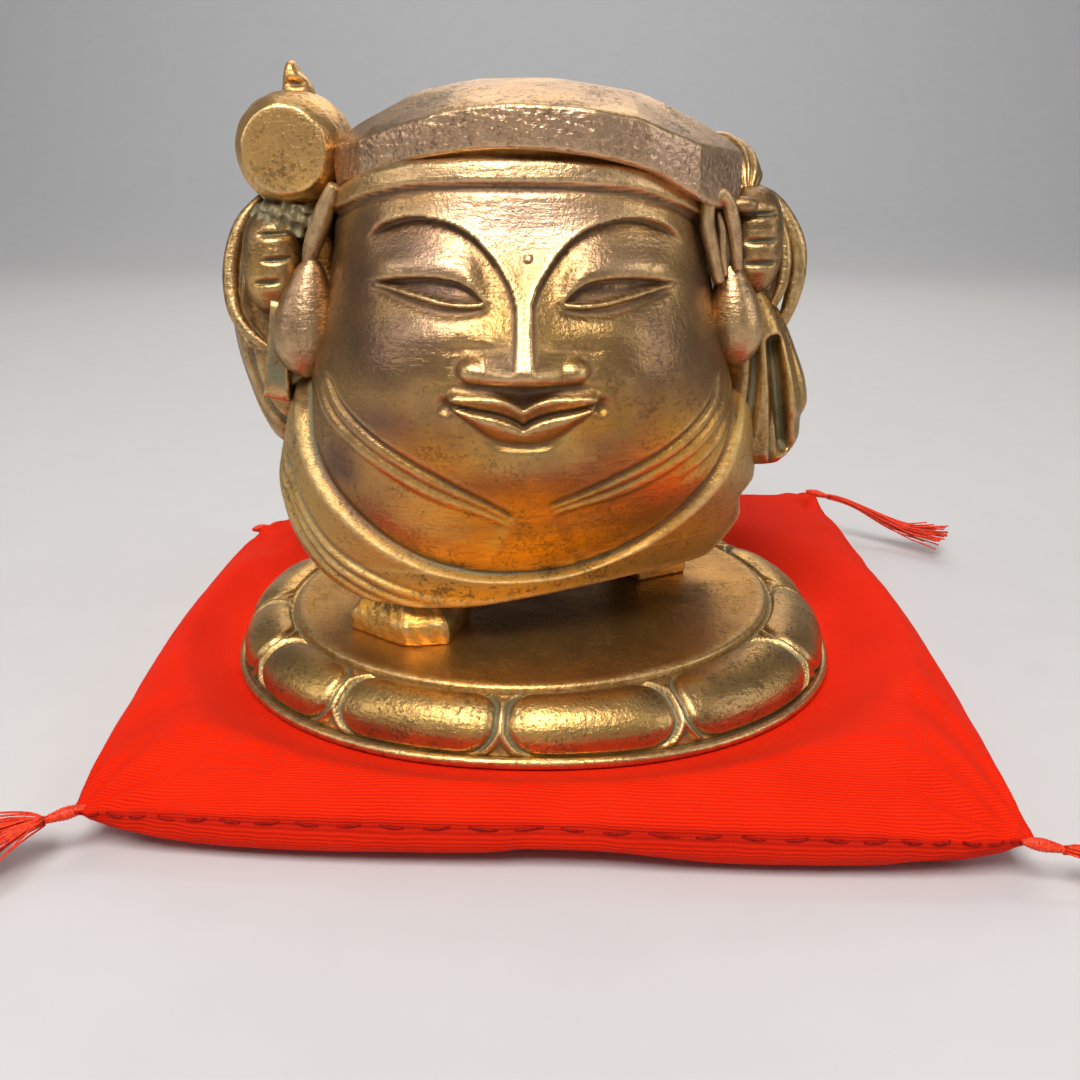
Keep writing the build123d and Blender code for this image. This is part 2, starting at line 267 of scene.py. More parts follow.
def closed_grid(name: str, points: np.ndarray, passes: int = 10) -> bpy.types.Object:
    """A shell from rings of points, closed at both ends with a fan, and marked for patina and painted shade.

    Args:
        name: the object's name.
        points: rings by points by 3, in millimetres; each ring closes on itself.
        passes: how wide the relief marks reach.

    Returns:
        The object, with its faces outwards.
    """
    rows, columns = points.shape[:2]
    hollow, proud = relief_marks(points, True, passes)
    ends = np.stack([points[0].mean(0), points[-1].mean(0)])
    every = np.concatenate([points.reshape(-1, 3), ends])
    faces = grid_faces(rows, columns, True).tolist()
    ring = np.arange(columns)
    low, high = rows * columns, rows * columns + 1
    last = (rows - 1) * columns
    faces += np.column_stack([np.roll(ring, -1), ring, np.full(columns, low)]).tolist()
    faces += np.column_stack([ring + last, np.roll(ring, -1) + last, np.full(columns, high)]).tolist()
    volume_sign = signed_volume(every, np.array([f[:3] for f in faces]), faces)
    if volume_sign < 0:
        faces = [f[::-1] for f in faces]
    made = new_object(name, every, faces)
    note(made, "hollow", np.concatenate([hollow.ravel(), [0.0, 0.0]]))
    note(made, "proud", np.concatenate([proud.ravel(), [0.0, 0.0]]))
    return made


def signed_volume(points: np.ndarray, first: np.ndarray, faces: list) -> float:
    """Six times the volume inside a closed mesh; negative if its faces point inwards.

    Args:
        points: places of the mesh.
        first: first three points of every face.
        faces: every face.

    Returns:
        The volume times six, with its sign.
    """
    a, b, c = (points[first[:, k]] for k in range(3))
    total = np.einsum("ij,ij->i", a, np.cross(b, c)).sum()
    quads = np.array([f for f in faces if len(f) == 4])
    if len(quads):
        a, b, c = points[quads[:, 0]], points[quads[:, 2]], points[quads[:, 3]]
        total += np.einsum("ij,ij->i", a, np.cross(b, c)).sum()
    return float(total)


def finish_piece(
    made: bpy.types.Object, body: Body, slot: str, material: bpy.types.Material, *nodes: str
) -> bpy.types.Object:
    """Dresses a piece, lets it ride on its body and hides the CAD nodes that it stands for.

    Args:
        made: the piece.
        body: the body that it rides on.
        slot: not used.
        material: the finish to dress it in.
        nodes: the CAD nodes that it stands for.

    Returns:
        The same piece.
    """
    made.data.materials.clear()
    made.data.materials.append(material)
    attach(made, body.value)
    if nodes:
        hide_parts(*nodes)
    log.info("%s: %d faces, on %s", made.name, len(made.data.polygons), body.value)
    return made


def carried(line: np.ndarray, radius: np.ndarray, columns: int, flatten: float = 1.0) -> np.ndarray:
    """Rings round a line in space: a circle, maybe flattened, carried along with little twist.

    Args:
        line: points of the path, rows by 3.
        radius: the circle's radius at each point.
        columns: points in each ring.
        flatten: height of the section over its width.

    Returns:
        Rings by points by 3.
    """
    along = np.gradient(line, axis=0)
    along /= np.linalg.norm(along, axis=1)[:, None]
    guide = np.array([0.0, 0.0, 1.0]) if abs(along[:, 2]).mean() < 0.8 else np.array([1.0, 0.0, 0.0])
    across = np.cross(along, guide)
    across /= np.linalg.norm(across, axis=1)[:, None]
    up = np.cross(across, along)
    turn = np.linspace(0, FULL_TURN, columns, endpoint=False)
    wide = np.cos(turn)[None, :, None] * across[:, None]
    tall = flatten * np.sin(turn)[None, :, None] * up[:, None]
    return line[:, None] + radius[:, None, None] * (wide + tall)


def egg(
    centre: tuple[float, float, float],
    radii: tuple[float, float, float],
    rows: int = 60,
    columns: int = 80,
    fullness: float = 2.0,
    sag: float = 0.0,
) -> np.ndarray:
    """Rings of a rounded block: a superellipsoid, widened towards its bottom by sag.

    Each ring's radius is (1 - |h|^p)^(1/p) for height h from -1 to 1, and each ring is itself a
    superellipse of the same power p, the fullness.

    Args:
        centre: its middle.
        radii: half sizes along x, y and z.
        rows: rings.
        columns: points in a ring.
        fullness: the power p; 2 is an ellipsoid.
        sag: how much wider it is at the bottom.

    Returns:
        Rings by points by 3.
    """
    lift = -np.cos(np.linspace(0.02, math.pi - 0.02, rows))
    turn = np.linspace(0, FULL_TURN, columns, endpoint=False)
    ring = (1 - np.abs(lift) ** fullness) ** (1 / fullness)
    cx, sx = np.cos(turn), np.sin(turn)
    flat = (np.abs(cx) ** fullness + np.abs(sx) ** fullness) ** (-1 / fullness)
    wide = ring[:, None] * flat[None] * (1 - sag * lift[:, None])
    x = centre[0] + radii[0] * wide * cx
    y = centre[1] + radii[1] * wide * sx
    z = centre[2] + radii[2] * lift[:, None] * np.ones_like(wide)
    return np.stack([x, y, z], -1)


# ---- figure
@dataclass
class BodyCasting:
    """The round head-and-robe casting: face, head band, collars, belly and robe."""

    face_axis: float = -1.7
    front_reach: float = math.radians(80.0)
    front_columns: int = 322
    back_columns: int = 68
    fullness: float = 2.25
    # place across, height, half width, half height and strength of each patch of another tone
    # lilac patches: the first is the lips' own tint; the rest are painted shade on the cheeks, beside the
    # mouth, under the jaw, in the eye slits, at the brow ends, on the nose and at the face's sides
    lilac_and_shade_patches: tuple = (
        (-2.5, 65.6, 8.5, 2.6, 0.5), (-16.0, 83.8, 6.5, 0.9, 1.0), (10.8, 83.8, 6.5, 0.9, 1.0),
        (-22, 90.5, 6, 4, 0.6), (-1.7, 82, 3, 6, 0.45), (-25, 62.5, 8, 5, 1.0), (-33, 54, 5, 6, 1.0),
        (-27, 47, 6, 5, 0.8), (-19, 59, 9, 6, 0.55), (20, 62, 8, 6, 0.5), (-24, 73, 9, 9, 0.85),
        (20, 75, 9, 9, 0.75), (26, 66, 6, 6, 0.6), (-28, 84, 4, 6, 0.7), (28, 84, 4, 7, 0.6),
        (-16, 66, 7, 5, 0.5), (15, 66, 6, 4, 0.35),
    )
    # rose patches: painted highlights on the forehead, the eyelids, the nose tip, the top of a cheek and the
    # head band
    rose_highlight_patches: tuple = (
        (-2, 94.5, 17, 4.5, 1.0), (-17, 88, 7, 4, 0.8), (15, 89, 8, 4, 0.55), (-4, 73, 5, 3, 0.6),
        (-18, 78, 6, 3, 0.4), (0, 101, 28, 3, 0.7),
    )
    # amber patches: an amber tone that partly paints the red cushion's reflection on the lower belly, the
    # robe's hem, the chin and the lower cheek
    amber_and_reflection_patches: tuple = (
        (2, 40, 22, 5.5, 1.0), (-2, 47, 20, 5, 0.8), (24, 56, 9, 9, 0.7), (-16, 56, 9, 6, 0.5),
        (-6, 30, 34, 3.5, 0.9), (10, 64, 8, 4, 0.35), (26, 40, 9, 6, 0.5),
    )
    # bearing in degrees and how much higher the hem hangs there
    hem_lift: tuple = (
        (-180, 2.0), (-120, 3.0), (-85, 5.6), (-62, 6.2), (-45, 4.8), (-25, 4.2), (0, 5.4), (25, 6.4),
        (60, 6.8), (110, 3.2), (180, 2.0),
    )
    # distance from the face's middle line, and height
    upper_lid: tuple = (
        (6.2, 82.0), (7.4, 83.3), (9.5, 84.7), (12.3, 85.4), (15.6, 85.6), (20.5, 85.2), (24.4, 84.4),
    )
    lower_lid: tuple = ((6.2, 82.0), (9.0, 81.9), (12.3, 82.2), (15.5, 82.9), (19.7, 83.8), (24.4, 84.4))
    eye_groove: tuple = ((5.4, 81.4), (8.5, 80.6), (13.0, 80.5), (18.0, 81.7), (22.7, 83.5), (25.0, 84.2))
    # the belly's lower edge, across and up, from the figure's right to its left
    belly_line: tuple = (
        (-41.8, 69.0), (-41.0, 61.9), (-39.3, 55.0), (-36.0, 49.6), (-31.2, 44.9), (-25.1, 40.5),
        (-18.2, 37.2), (-10.8, 35.2), (-2.4, 34.4), (6.5, 34.6), (13.5, 36.5), (20.6, 39.8),
        (27.4, 45.2), (32.0, 50.6), (35.1, 56.6), (37.2, 63.0), (38.2, 69.0),
    )
    right_collar: tuple = (
        (-37.6, 68.5), (-34.1, 63.3), (-29.0, 58.9), (-22.2, 54.5), (-15.6, 51.0), (-9.0, 48.1), (-3.2, 44.9),
    )
    left_collar: tuple = (
        (34.2, 70.0), (32.4, 64.4), (28.3, 60.0), (22.4, 55.7), (15.3, 52.0), (8.2, 49.3), (2.6, 47.3),
    )
    # the outline that the robe's lower part is cut flat to, across and back
    robe_plan: tuple = (
        (-47, 6), (-44, -22), (-28, -40), (30, -40), (39.5, -21), (42.5, -4), (39, 20), (24, 34), (-6, 38),
        (-34, 28),
    )
    # height, half width, front depth, back depth, middle x, middle y, turn in degrees
    levels: tuple = (
        (24.2, 34.5, 21.5, 20.0, 0.0, -2.0, 30.0),
        (26.5, 38.0, 23.6, 23.5, -0.6, -2.2, 28.0),
        (31.0, 42.0, 25.8, 28.0, -1.4, -2.6, 23.0),
        (37.0, 44.6, 28.0, 31.0, -2.2, -3.0, 16.0),
        (45.0, 45.6, 31.4, 34.0, -2.8, -3.0, 8.0),
        (52.0, 45.0, 34.0, 36.0, -2.8, -3.0, 3.0),
        (60.0, 43.2, 36.3, 37.0, -2.8, -3.0, 0.0),
        (68.0, 39.2, 37.2, 37.0, -2.8, -3.0, 0.0),
        (76.0, 36.2, 36.0, 36.5, -2.7, -3.0, 0.0),
        (86.0, 34.0, 33.3, 36.0, -2.7, -3.0, 0.0),
        (95.0, 32.8, 31.2, 35.0, -2.7, -3.0, 0.0),
        (105.0, 32.0, 28.8, 33.0, -2.5, -3.0, 0.0),
    )

    def rows(self) -> np.ndarray:
        """Heights of the rings: close together over the face, wider over the robe.

        Returns:
            The heights, from the hem up.
        """
        hem = np.linspace(24.2, 30.0, 12, endpoint=False)
        robe = np.linspace(30.0, 58.0, 80, endpoint=False)
        face = np.linspace(58.0, 96.5, 138, endpoint=False)
        return np.concatenate([hem, robe, face, np.linspace(96.5, 105.0, 17)])

    def columns(self) -> np.ndarray:
        """Bearings of the columns: close together across the face, wider round the back.

        Returns:
            The bearings, in radians.
        """
        front = np.linspace(-self.front_reach, self.front_reach, self.front_columns, endpoint=False)
        rest = FULL_TURN - 2 * self.front_reach
        back = self.front_reach + rest * np.arange(self.back_columns) / self.back_columns
        return np.concatenate([front, back])

    def ball(self, bearing: np.ndarray, height: np.ndarray) -> tuple[np.ndarray, np.ndarray, np.ndarray]:
        """The plain ball before carving.

        Each level is an oval |u/a|^p + |v/b|^p = 1, turned by its own angle; its sizes follow
        smooth curves through the levels, and a is the same on both sides while b differs between
        front and back.

        Args:
            bearing: angles round the figure.
            height: heights of the same places.

        Returns:
            Distance from the level's middle, and the middle's x and y.
        """
        half_width, front, back, middle_x, middle_y, turn = (
            through(self.levels, k, height) for k in range(1, 7)
        )
        look = bearing - np.radians(turn)
        depth = np.where(np.cos(look) > 0, front, back)
        power = self.fullness
        wide = np.abs(np.sin(look) / half_width) ** power
        deep = np.abs(np.cos(look) / depth) ** power
        return (wide + deep) ** (-1 / power), middle_x, middle_y

    def brow_and_nose(self, s: np.ndarray, z: np.ndarray) -> np.ndarray:
        """Forehead and nose as one raised shape with a crisp edge, sockets sunk beside it.

        The edge runs from the temple over the eye and down the nose.  Outside it the socket drops
        by an exponential of the distance; the nose is a flat-topped ridge whose height grows
        downwards and whose sides fall off as an exponential of the distance from the flat top.

        Args:
            s: distances from the face's middle line.
            z: places up.

        Returns:
            Outward shift, in millimetres.
        """
        edge = drawn(
            [(26.5, 90.2), (23.2, 93.0), (18.2, 94.6), (13.4, 94.3), (9.2, 92.8), (6.0, 90.3)]
            + [(3.7, 87.4), (1.9, 84.2), (1.05, 81.0), (0.8, 77.0), (1.1, 73.4)]
        )
        away, share = beside(edge, s, z, 14.0)
        outside = np.where(s < 1.2, 1.0, np.where(away < 0, 1.0, -1.0))
        gap = np.abs(away)
        fade = ease(0.0, 0.16, share)
        raised = np.where(outside > 0, gap, -gap)
        sunk = np.where(raised < 0, np.exp(-np.abs(raised) / 3.4), 0.0) * ease(0.0, 0.3, -raised)
        socket_zone = ease(71.0, 76.0, z)
        brow = -1.9 * sunk * fade * socket_zone
        lip_of_brow = 0.75 * np.where(raised >= 0, np.exp(-raised / 3.0), 0.0) * fade * ease(79.0, 88.0, z)
        height = through(
            ((68.6, 0), (69.6, 1.0), (70.4, 3.9), (71.3, 5.1), (72.4, 5.4), (74, 5.0), (77, 4.1))
            + ((80, 3.1), (83, 2.2), (86, 1.3), (89, 0.5), (93, 0.0)),
            1,
            z,
        )
        top = through(((69, 1.7), (73.4, 1.1), (77, 0.8), (81, 1.0), (84.2, 1.8), (87.4, 3.6), (92, 8)), 1, z)
        slope = through(((69, 5.5), (72, 5.2), (75, 4.2), (80, 3.2), (85, 2.4), (93, 2.0)), 1, z)
        beyond = np.maximum(s - top, 0.0)
        ridge = height * np.exp(-((beyond / slope) ** 1.25))
        across, along = (s - 7.0) / 3.7, (z - 72.1) / 2.25
        wing = 2.5 * np.maximum(1 - across**2 - along**2, 0.0) ** 0.6
        crease = -0.7 * swell(np.hypot((s - 10.3) / 1.3, (z - 72.6) / 2.6), 1.0)
        fold = -0.5 * swell(np.hypot((s - 7.2) / 3.6, (z - 75.2) / 0.8), 1.0)
        return brow + lip_of_brow + np.maximum(ridge, wing) + crease + fold

    def eyes(self, s: np.ndarray, z: np.ndarray) -> np.ndarray:
        """A nearly closed eye: puffed upper lid, sunk slit, sharp lower rim and a groove below.

        Args:
            s: distances from the face's middle line.
            z: places up.

        Returns:
            Outward shift, in millimetres.
        """
        upper = through(self.upper_lid, 1, s)
        lower = through(self.lower_lid, 1, s)
        groove = through(self.eye_groove, 1, s)
        within = ease(5.9, 6.9, s) * ease(25.0, 23.4, s)
        about = ease(4.5, 9.0, s) * ease(28.0, 20.0, s)
        slit = ease(0.0, 0.35, upper - z) * ease(0.0, 0.35, z - lower) * within
        puff = 1.25 * swell(z - upper - 1.8, 2.6) * about * ease(-0.1, 0.3, z - upper)
        rim = 0.62 * swell(z - lower + 0.35, 0.38) * within
        under = -0.75 * swell(z - groove, 0.85) * ease(5.0, 7.0, s) * ease(25.5, 22.5, s)
        bag = 0.5 * swell(np.hypot((s - 13.0) / 8.0, (z - 77.5) / 2.4), 1.0)
        return puff - 1.35 * slit + rim + under + bag

    def mouth(self, s: np.ndarray, z: np.ndarray) -> np.ndarray:
        """A small smiling mouth under a short ledge, with a bow in the middle of the upper lip.

        Args:
            s: distances from the face's middle line.
            z: places up.

        Returns:
            Outward shift, in millimetres.
        """
        bow = through(((0, 65.6), (1.6, 66.6), (3.6, 67.3), (7.0, 67.5), (10.5, 67.5), (12.5, 67.2)), 1, s)
        part = through(((0, 63.1), (1.0, 63.8), (4.0, 65.0), (7.5, 65.7), (10.5, 66.3), (12.5, 66.7)), 1, s)
        foot = through(((0, 60.2), (3.0, 60.5), (5.8, 61.6), (8.5, 63.7), (11.0, 65.7), (12.5, 66.5)), 1, s)
        within = ease(12.6, 10.4, s)
        up = np.clip((z - part) / (bow - part), 0.0, 1.0)
        above = swell(np.maximum(z - bow, 0.0), 1.1)
        upper = 1.75 * up**0.8 * above * (z >= part)
        down = np.clip((part - z) / np.maximum(part - foot, 0.3), 0.0, 1.0)
        lower = 1.5 * np.sin(math.pi * down**0.62) ** 0.8 * (z < part)
        seam = -0.65 * swell(z - part, 0.34)
        chin_dip = -0.6 * swell(z - foot + 0.7, 0.9) * ease(9.0, 3.0, s)
        pit = -1.3 * swell(np.hypot(s - 12.3, z - 66.2), 1.25)
        gutter = -0.35 * swell(np.hypot(s / 1.6, (z - 68.2) / 1.0), 1.0)
        return (upper + lower + seam) * within + chin_dip + pit + gutter

    def cheeks(self, s: np.ndarray, z: np.ndarray) -> np.ndarray:
        """Full cheeks and chin as wide bells, with a soft smile line between cheek and mouth.

        Args:
            s: distances from the face's middle line.
            z: places up.

        Returns:
            Outward shift, in millimetres.
        """
        cheek = 1.7 * swell(np.hypot((s - 19.0) / 10.0, (z - 72.0) / 8.5), 1.0)
        chin = 1.0 * swell(np.hypot(s / 9.0, (z - 55.0) / 4.6), 1.0)
        line = drawn([(10.8, 74.0), (13.6, 70.5), (15.2, 66.0), (14.2, 60.5)], 24)
        smile, share = beside(line, s, z, 8.0)
        return cheek + chin - 0.7 * swell(smile, 2.0) * ease(0.0, 0.25, share) * ease(1.0, 0.6, share)

    def head_band(self, x: np.ndarray, z: np.ndarray) -> np.ndarray:
        """A flat band round the brow, parted from the forehead by a fine dark line.

        Args:
            x: places across.
            z: places up.

        Returns:
            Outward shift, in millimetres.
        """
        low = through(((-40, 92.5), (-32, 95.2), (-28, 97.0), (-22, 98.5), (-12, 99.3), (0, 99.4), (9, 99.1))
                      + ((16, 98.3), (22, 96.5), (28, 93.8), (36, 91.5)), 1, x)
        above = z - low
        band = 1.1 * ease(-0.25, 0.75, above) - 2.2 * ease(3.4, 4.5, above)
        return band - 0.5 * swell(above + 0.35, 0.55)

    def collar(self, x: np.ndarray, z: np.ndarray, points: Points) -> np.ndarray:
        """A double collar edge: two raised strips with a line between, tapering to the middle.

        Args:
            x: places across.
            z: places up.
            points: the band's middle line, from the ear to the middle of the chest.

        Returns:
            Outward shift, in millimetres.
        """
        away, share = beside(drawn(points), x, z, 9.0)
        away = np.abs(away) * np.sign(self.below(points, x, z))
        half = 1.9 - 1.0 * ease(0.6, 1.0, share)
        alive = ease(0.0, 0.08, share) * ease(1.0, 0.94, share)
        jaw = -1.0 * ease(-half - 1.3, -half - 0.1, away) * np.exp(-np.maximum(away + half, 0) / 9.0)
        strip = 0.55 * ease(-half - 0.1, -half + 0.7, away) * ease(half + 0.7, half - 0.3, away)
        line = -0.42 * swell(away - 0.15, 0.36)
        return (jaw + strip + line) * alive

    @staticmethod
    def below(points: Points, x: np.ndarray, z: np.ndarray) -> np.ndarray:
        """+1 for places lower than a line that runs across, -1 for places above it."""
        ordered = tuple(sorted(points))
        return np.where(z < through(ordered, 1, x), 1.0, -1.0)

    def belly_edge(self, x: np.ndarray, z: np.ndarray, front: np.ndarray) -> np.ndarray:
        """The belly's rounded lower edge, tucked in over the outer robe.

        Above the edge the ball rounds in like a quarter circle; below it the robe stands a little
        proud and hangs nearly upright.

        Args:
            x: places across.
            z: places up.
            front: 1 on the front of the figure, fading to 0 at its sides.

        Returns:
            Outward shift, in millimetres.
        """
        edge = drawn(self.belly_line, 90)
        away, _ = beside(edge, x, z, 12.0)
        tuck = 1 - np.sqrt(1 - np.clip(1 - away / 6.0, 0.0, 1.0) ** 2 * 0.9)
        dome = -2.6 * tuck
        robe = 2.6 * ease(-0.1, -1.3, away) * (0.55 + 0.45 * np.exp(np.minimum(away, 0) / 7.0))
        return (np.where(away > 0, dome, -1.78) + robe) * front

    def robe_pleats(self, x: np.ndarray, z: np.ndarray, front: np.ndarray) -> np.ndarray:
        """Three overlapping cloth edges that sweep from the figure's right side to the hem.

        Args:
            x: places across.
            z: places up.
            front: 1 on the front of the figure, fading to 0 at its sides.

        Returns:
            Outward shift, in millimetres.
        """
        shift = np.zeros_like(x)
        for index in range(3):
            start = 47.5 - 2.3 * index
            line = drawn(
                [(-44.5, start + 3.0), (-41.0, start - 3.4), (-36.4, start - 8.6), (-28.4, start - 13.2)]
                + [(-20.3, start - 16.2), (-12.2, start - 17.6), (-3.0, start - 18.2)],
                40,
            )
            away, share = beside(line, x, z, 5.0)
            fade = ease(1.0, 0.45, share)
            shift += 0.75 * ease(0.6, -0.4, away) * np.exp(np.minimum(away, 0) / 2.6) * fade
            shift -= 0.4 * swell(away - 0.3, 0.6) * fade
        return shift * front

    def lapel(self, x: np.ndarray, z: np.ndarray) -> np.ndarray:
        """Folded cloth edges beside the left collar, and one beside the right.

        Args:
            x: places across.
            z: places up.

        Returns:
            Outward shift, in millimetres.
        """
        shift = np.zeros_like(x)
        for points in (
            [(37.4, 67.5), (37.0, 62.5), (35.2, 57.2), (32.3, 52.4), (28.6, 48.2)],
            [(35.3, 68.0), (34.7, 62.4), (32.6, 58.3), (28.7, 54.8), (23.4, 51.4)],
        ):
            away, share = beside(drawn(points, 32), x, z, 5.0)
            alive = ease(0.0, 0.1, share) * ease(1.0, 0.6, share)
            shift += (0.45 * swell(away, 0.7) - 0.4 * swell(away - 1.2, 0.8)) * alive
        return shift

    def carve(self) -> np.ndarray:
        """All of the casting's surface: the ball, cut flat here and there, plus its relief.

        Returns:
            Rings by columns by 3, in millimetres.
        """
        z, bearing = np.meshgrid(self.rows(), self.columns(), indexing="ij")
        lift = through(self.hem_lift, 1, np.degrees((bearing + math.pi) % FULL_TURN - math.pi))
        z = z + lift * ease(38.0, 24.0, z)
        distance, middle_x, middle_y = self.ball(bearing, z)
        flats = flat_sided(bearing, self.robe_plan)
        low_part = ease(56.0, 44.0, z)
        flattened = np.minimum(distance, flats + 30 * (1 - low_part))
        distance = np.where(low_part > 0, flattened, distance)
        x = middle_x + distance * np.sin(bearing)
        side = x - self.face_axis
        s = np.abs(side)
        front = ease(0.05, 0.3, np.cos(bearing))
        face = front * ease(56.0, 60.0, z)
        relief = (self.brow_and_nose(s, z) + self.eyes(s, z)) * face
        relief += self.mouth(s, z) * front * ease(57.0, 60.0, z) + self.cheeks(s, z) * front
        relief += self.head_band(x, z)
        relief += self.collar(x, z, self.right_collar) * front
        relief += self.collar(x, z, self.left_collar) * front
        relief += self.belly_edge(x, z, front) + self.robe_pleats(x, z, front) + self.lapel(x, z) * front
        dot = 0.3 * ease(0.75, 0.45, np.hypot(side - 0.6, z - 88.8))
        back = ease(0.1, -0.3, np.cos(bearing))
        drape = 0.9 * np.sin(bearing * 11 + 0.06 * (z - 30)) * ease(80.0, 30.0, z)
        distance = distance + relief + dot * front + back * drape
        x = middle_x + distance * np.sin(bearing)
        y = middle_y - distance * np.cos(bearing)
        return np.stack([x, y, z], -1)

    def build(self, material: bpy.types.Material) -> None:
        """Makes the casting, with a recessed underside, and dresses it.

        Args:
            material: the finish to dress it in.
        """
        shell = self.carve()
        middle = shell[0].mean(0)
        inner = middle + (shell[0] - middle) * 0.86
        deep = inner + np.array([0.0, 0.0, 0.8])
        top = shell[-1] * np.array([0.4, 0.4, 1.0])
        points = np.concatenate([deep[None], inner[None], shell, top[None]])
        made = closed_grid("body_casting", points, 8)
        self.tint(made, points)
        finish_piece(made, Body.FIGURE, "figure_bronze", material, "body_shell")

    def tint(self, made: bpy.types.Object, points: np.ndarray) -> None:
        """Marks the pale outer robe, the purple-brown patches that mostly paint shade, the rose patches that
        paint highlights, the amber patches that partly paint the red cushion's reflection, and the ungreened
        front of the face.

        Args:
            made: the piece.
            points: its places, ring by ring, in millimetres.
        """
        x, y, z = np.moveaxis(points, -1, 0)
        front = ease(6.0, -6.0, y)
        edge = through(((-42, 62.0), *self.belly_line[2:-3], self.belly_line[-2]), 1, x)
        pale = ease(0.2, -0.8, z - edge) * front * ease(26.0, 30.0, z)
        tones = []
        for patches in (self.lilac_and_shade_patches, self.rose_highlight_patches, self.amber_and_reflection_patches):
            tone = np.zeros_like(x)
            for across, up, wide, tall, most in patches:
                tone = np.maximum(tone, most * swell(np.hypot((x - across) / wide, (z - up) / tall), 1.0))
            tones.append(tone * front)
        lilac_and_shade, rose_and_highlight, amber_and_reflection = tones
        bare = front * ease(34.0, 40.0, z) * ease(104.0, 99.0, z) * ease(41.0, 34.0, np.abs(x))
        marks = {"pale": pale, "lilac_and_shade": lilac_and_shade, "rose_and_highlight": rose_and_highlight, "amber_and_reflection": amber_and_reflection, "bare": bare}
        for name, values in marks.items():
            note(made, name, np.concatenate([values.ravel(), [0.0, 0.0]]))


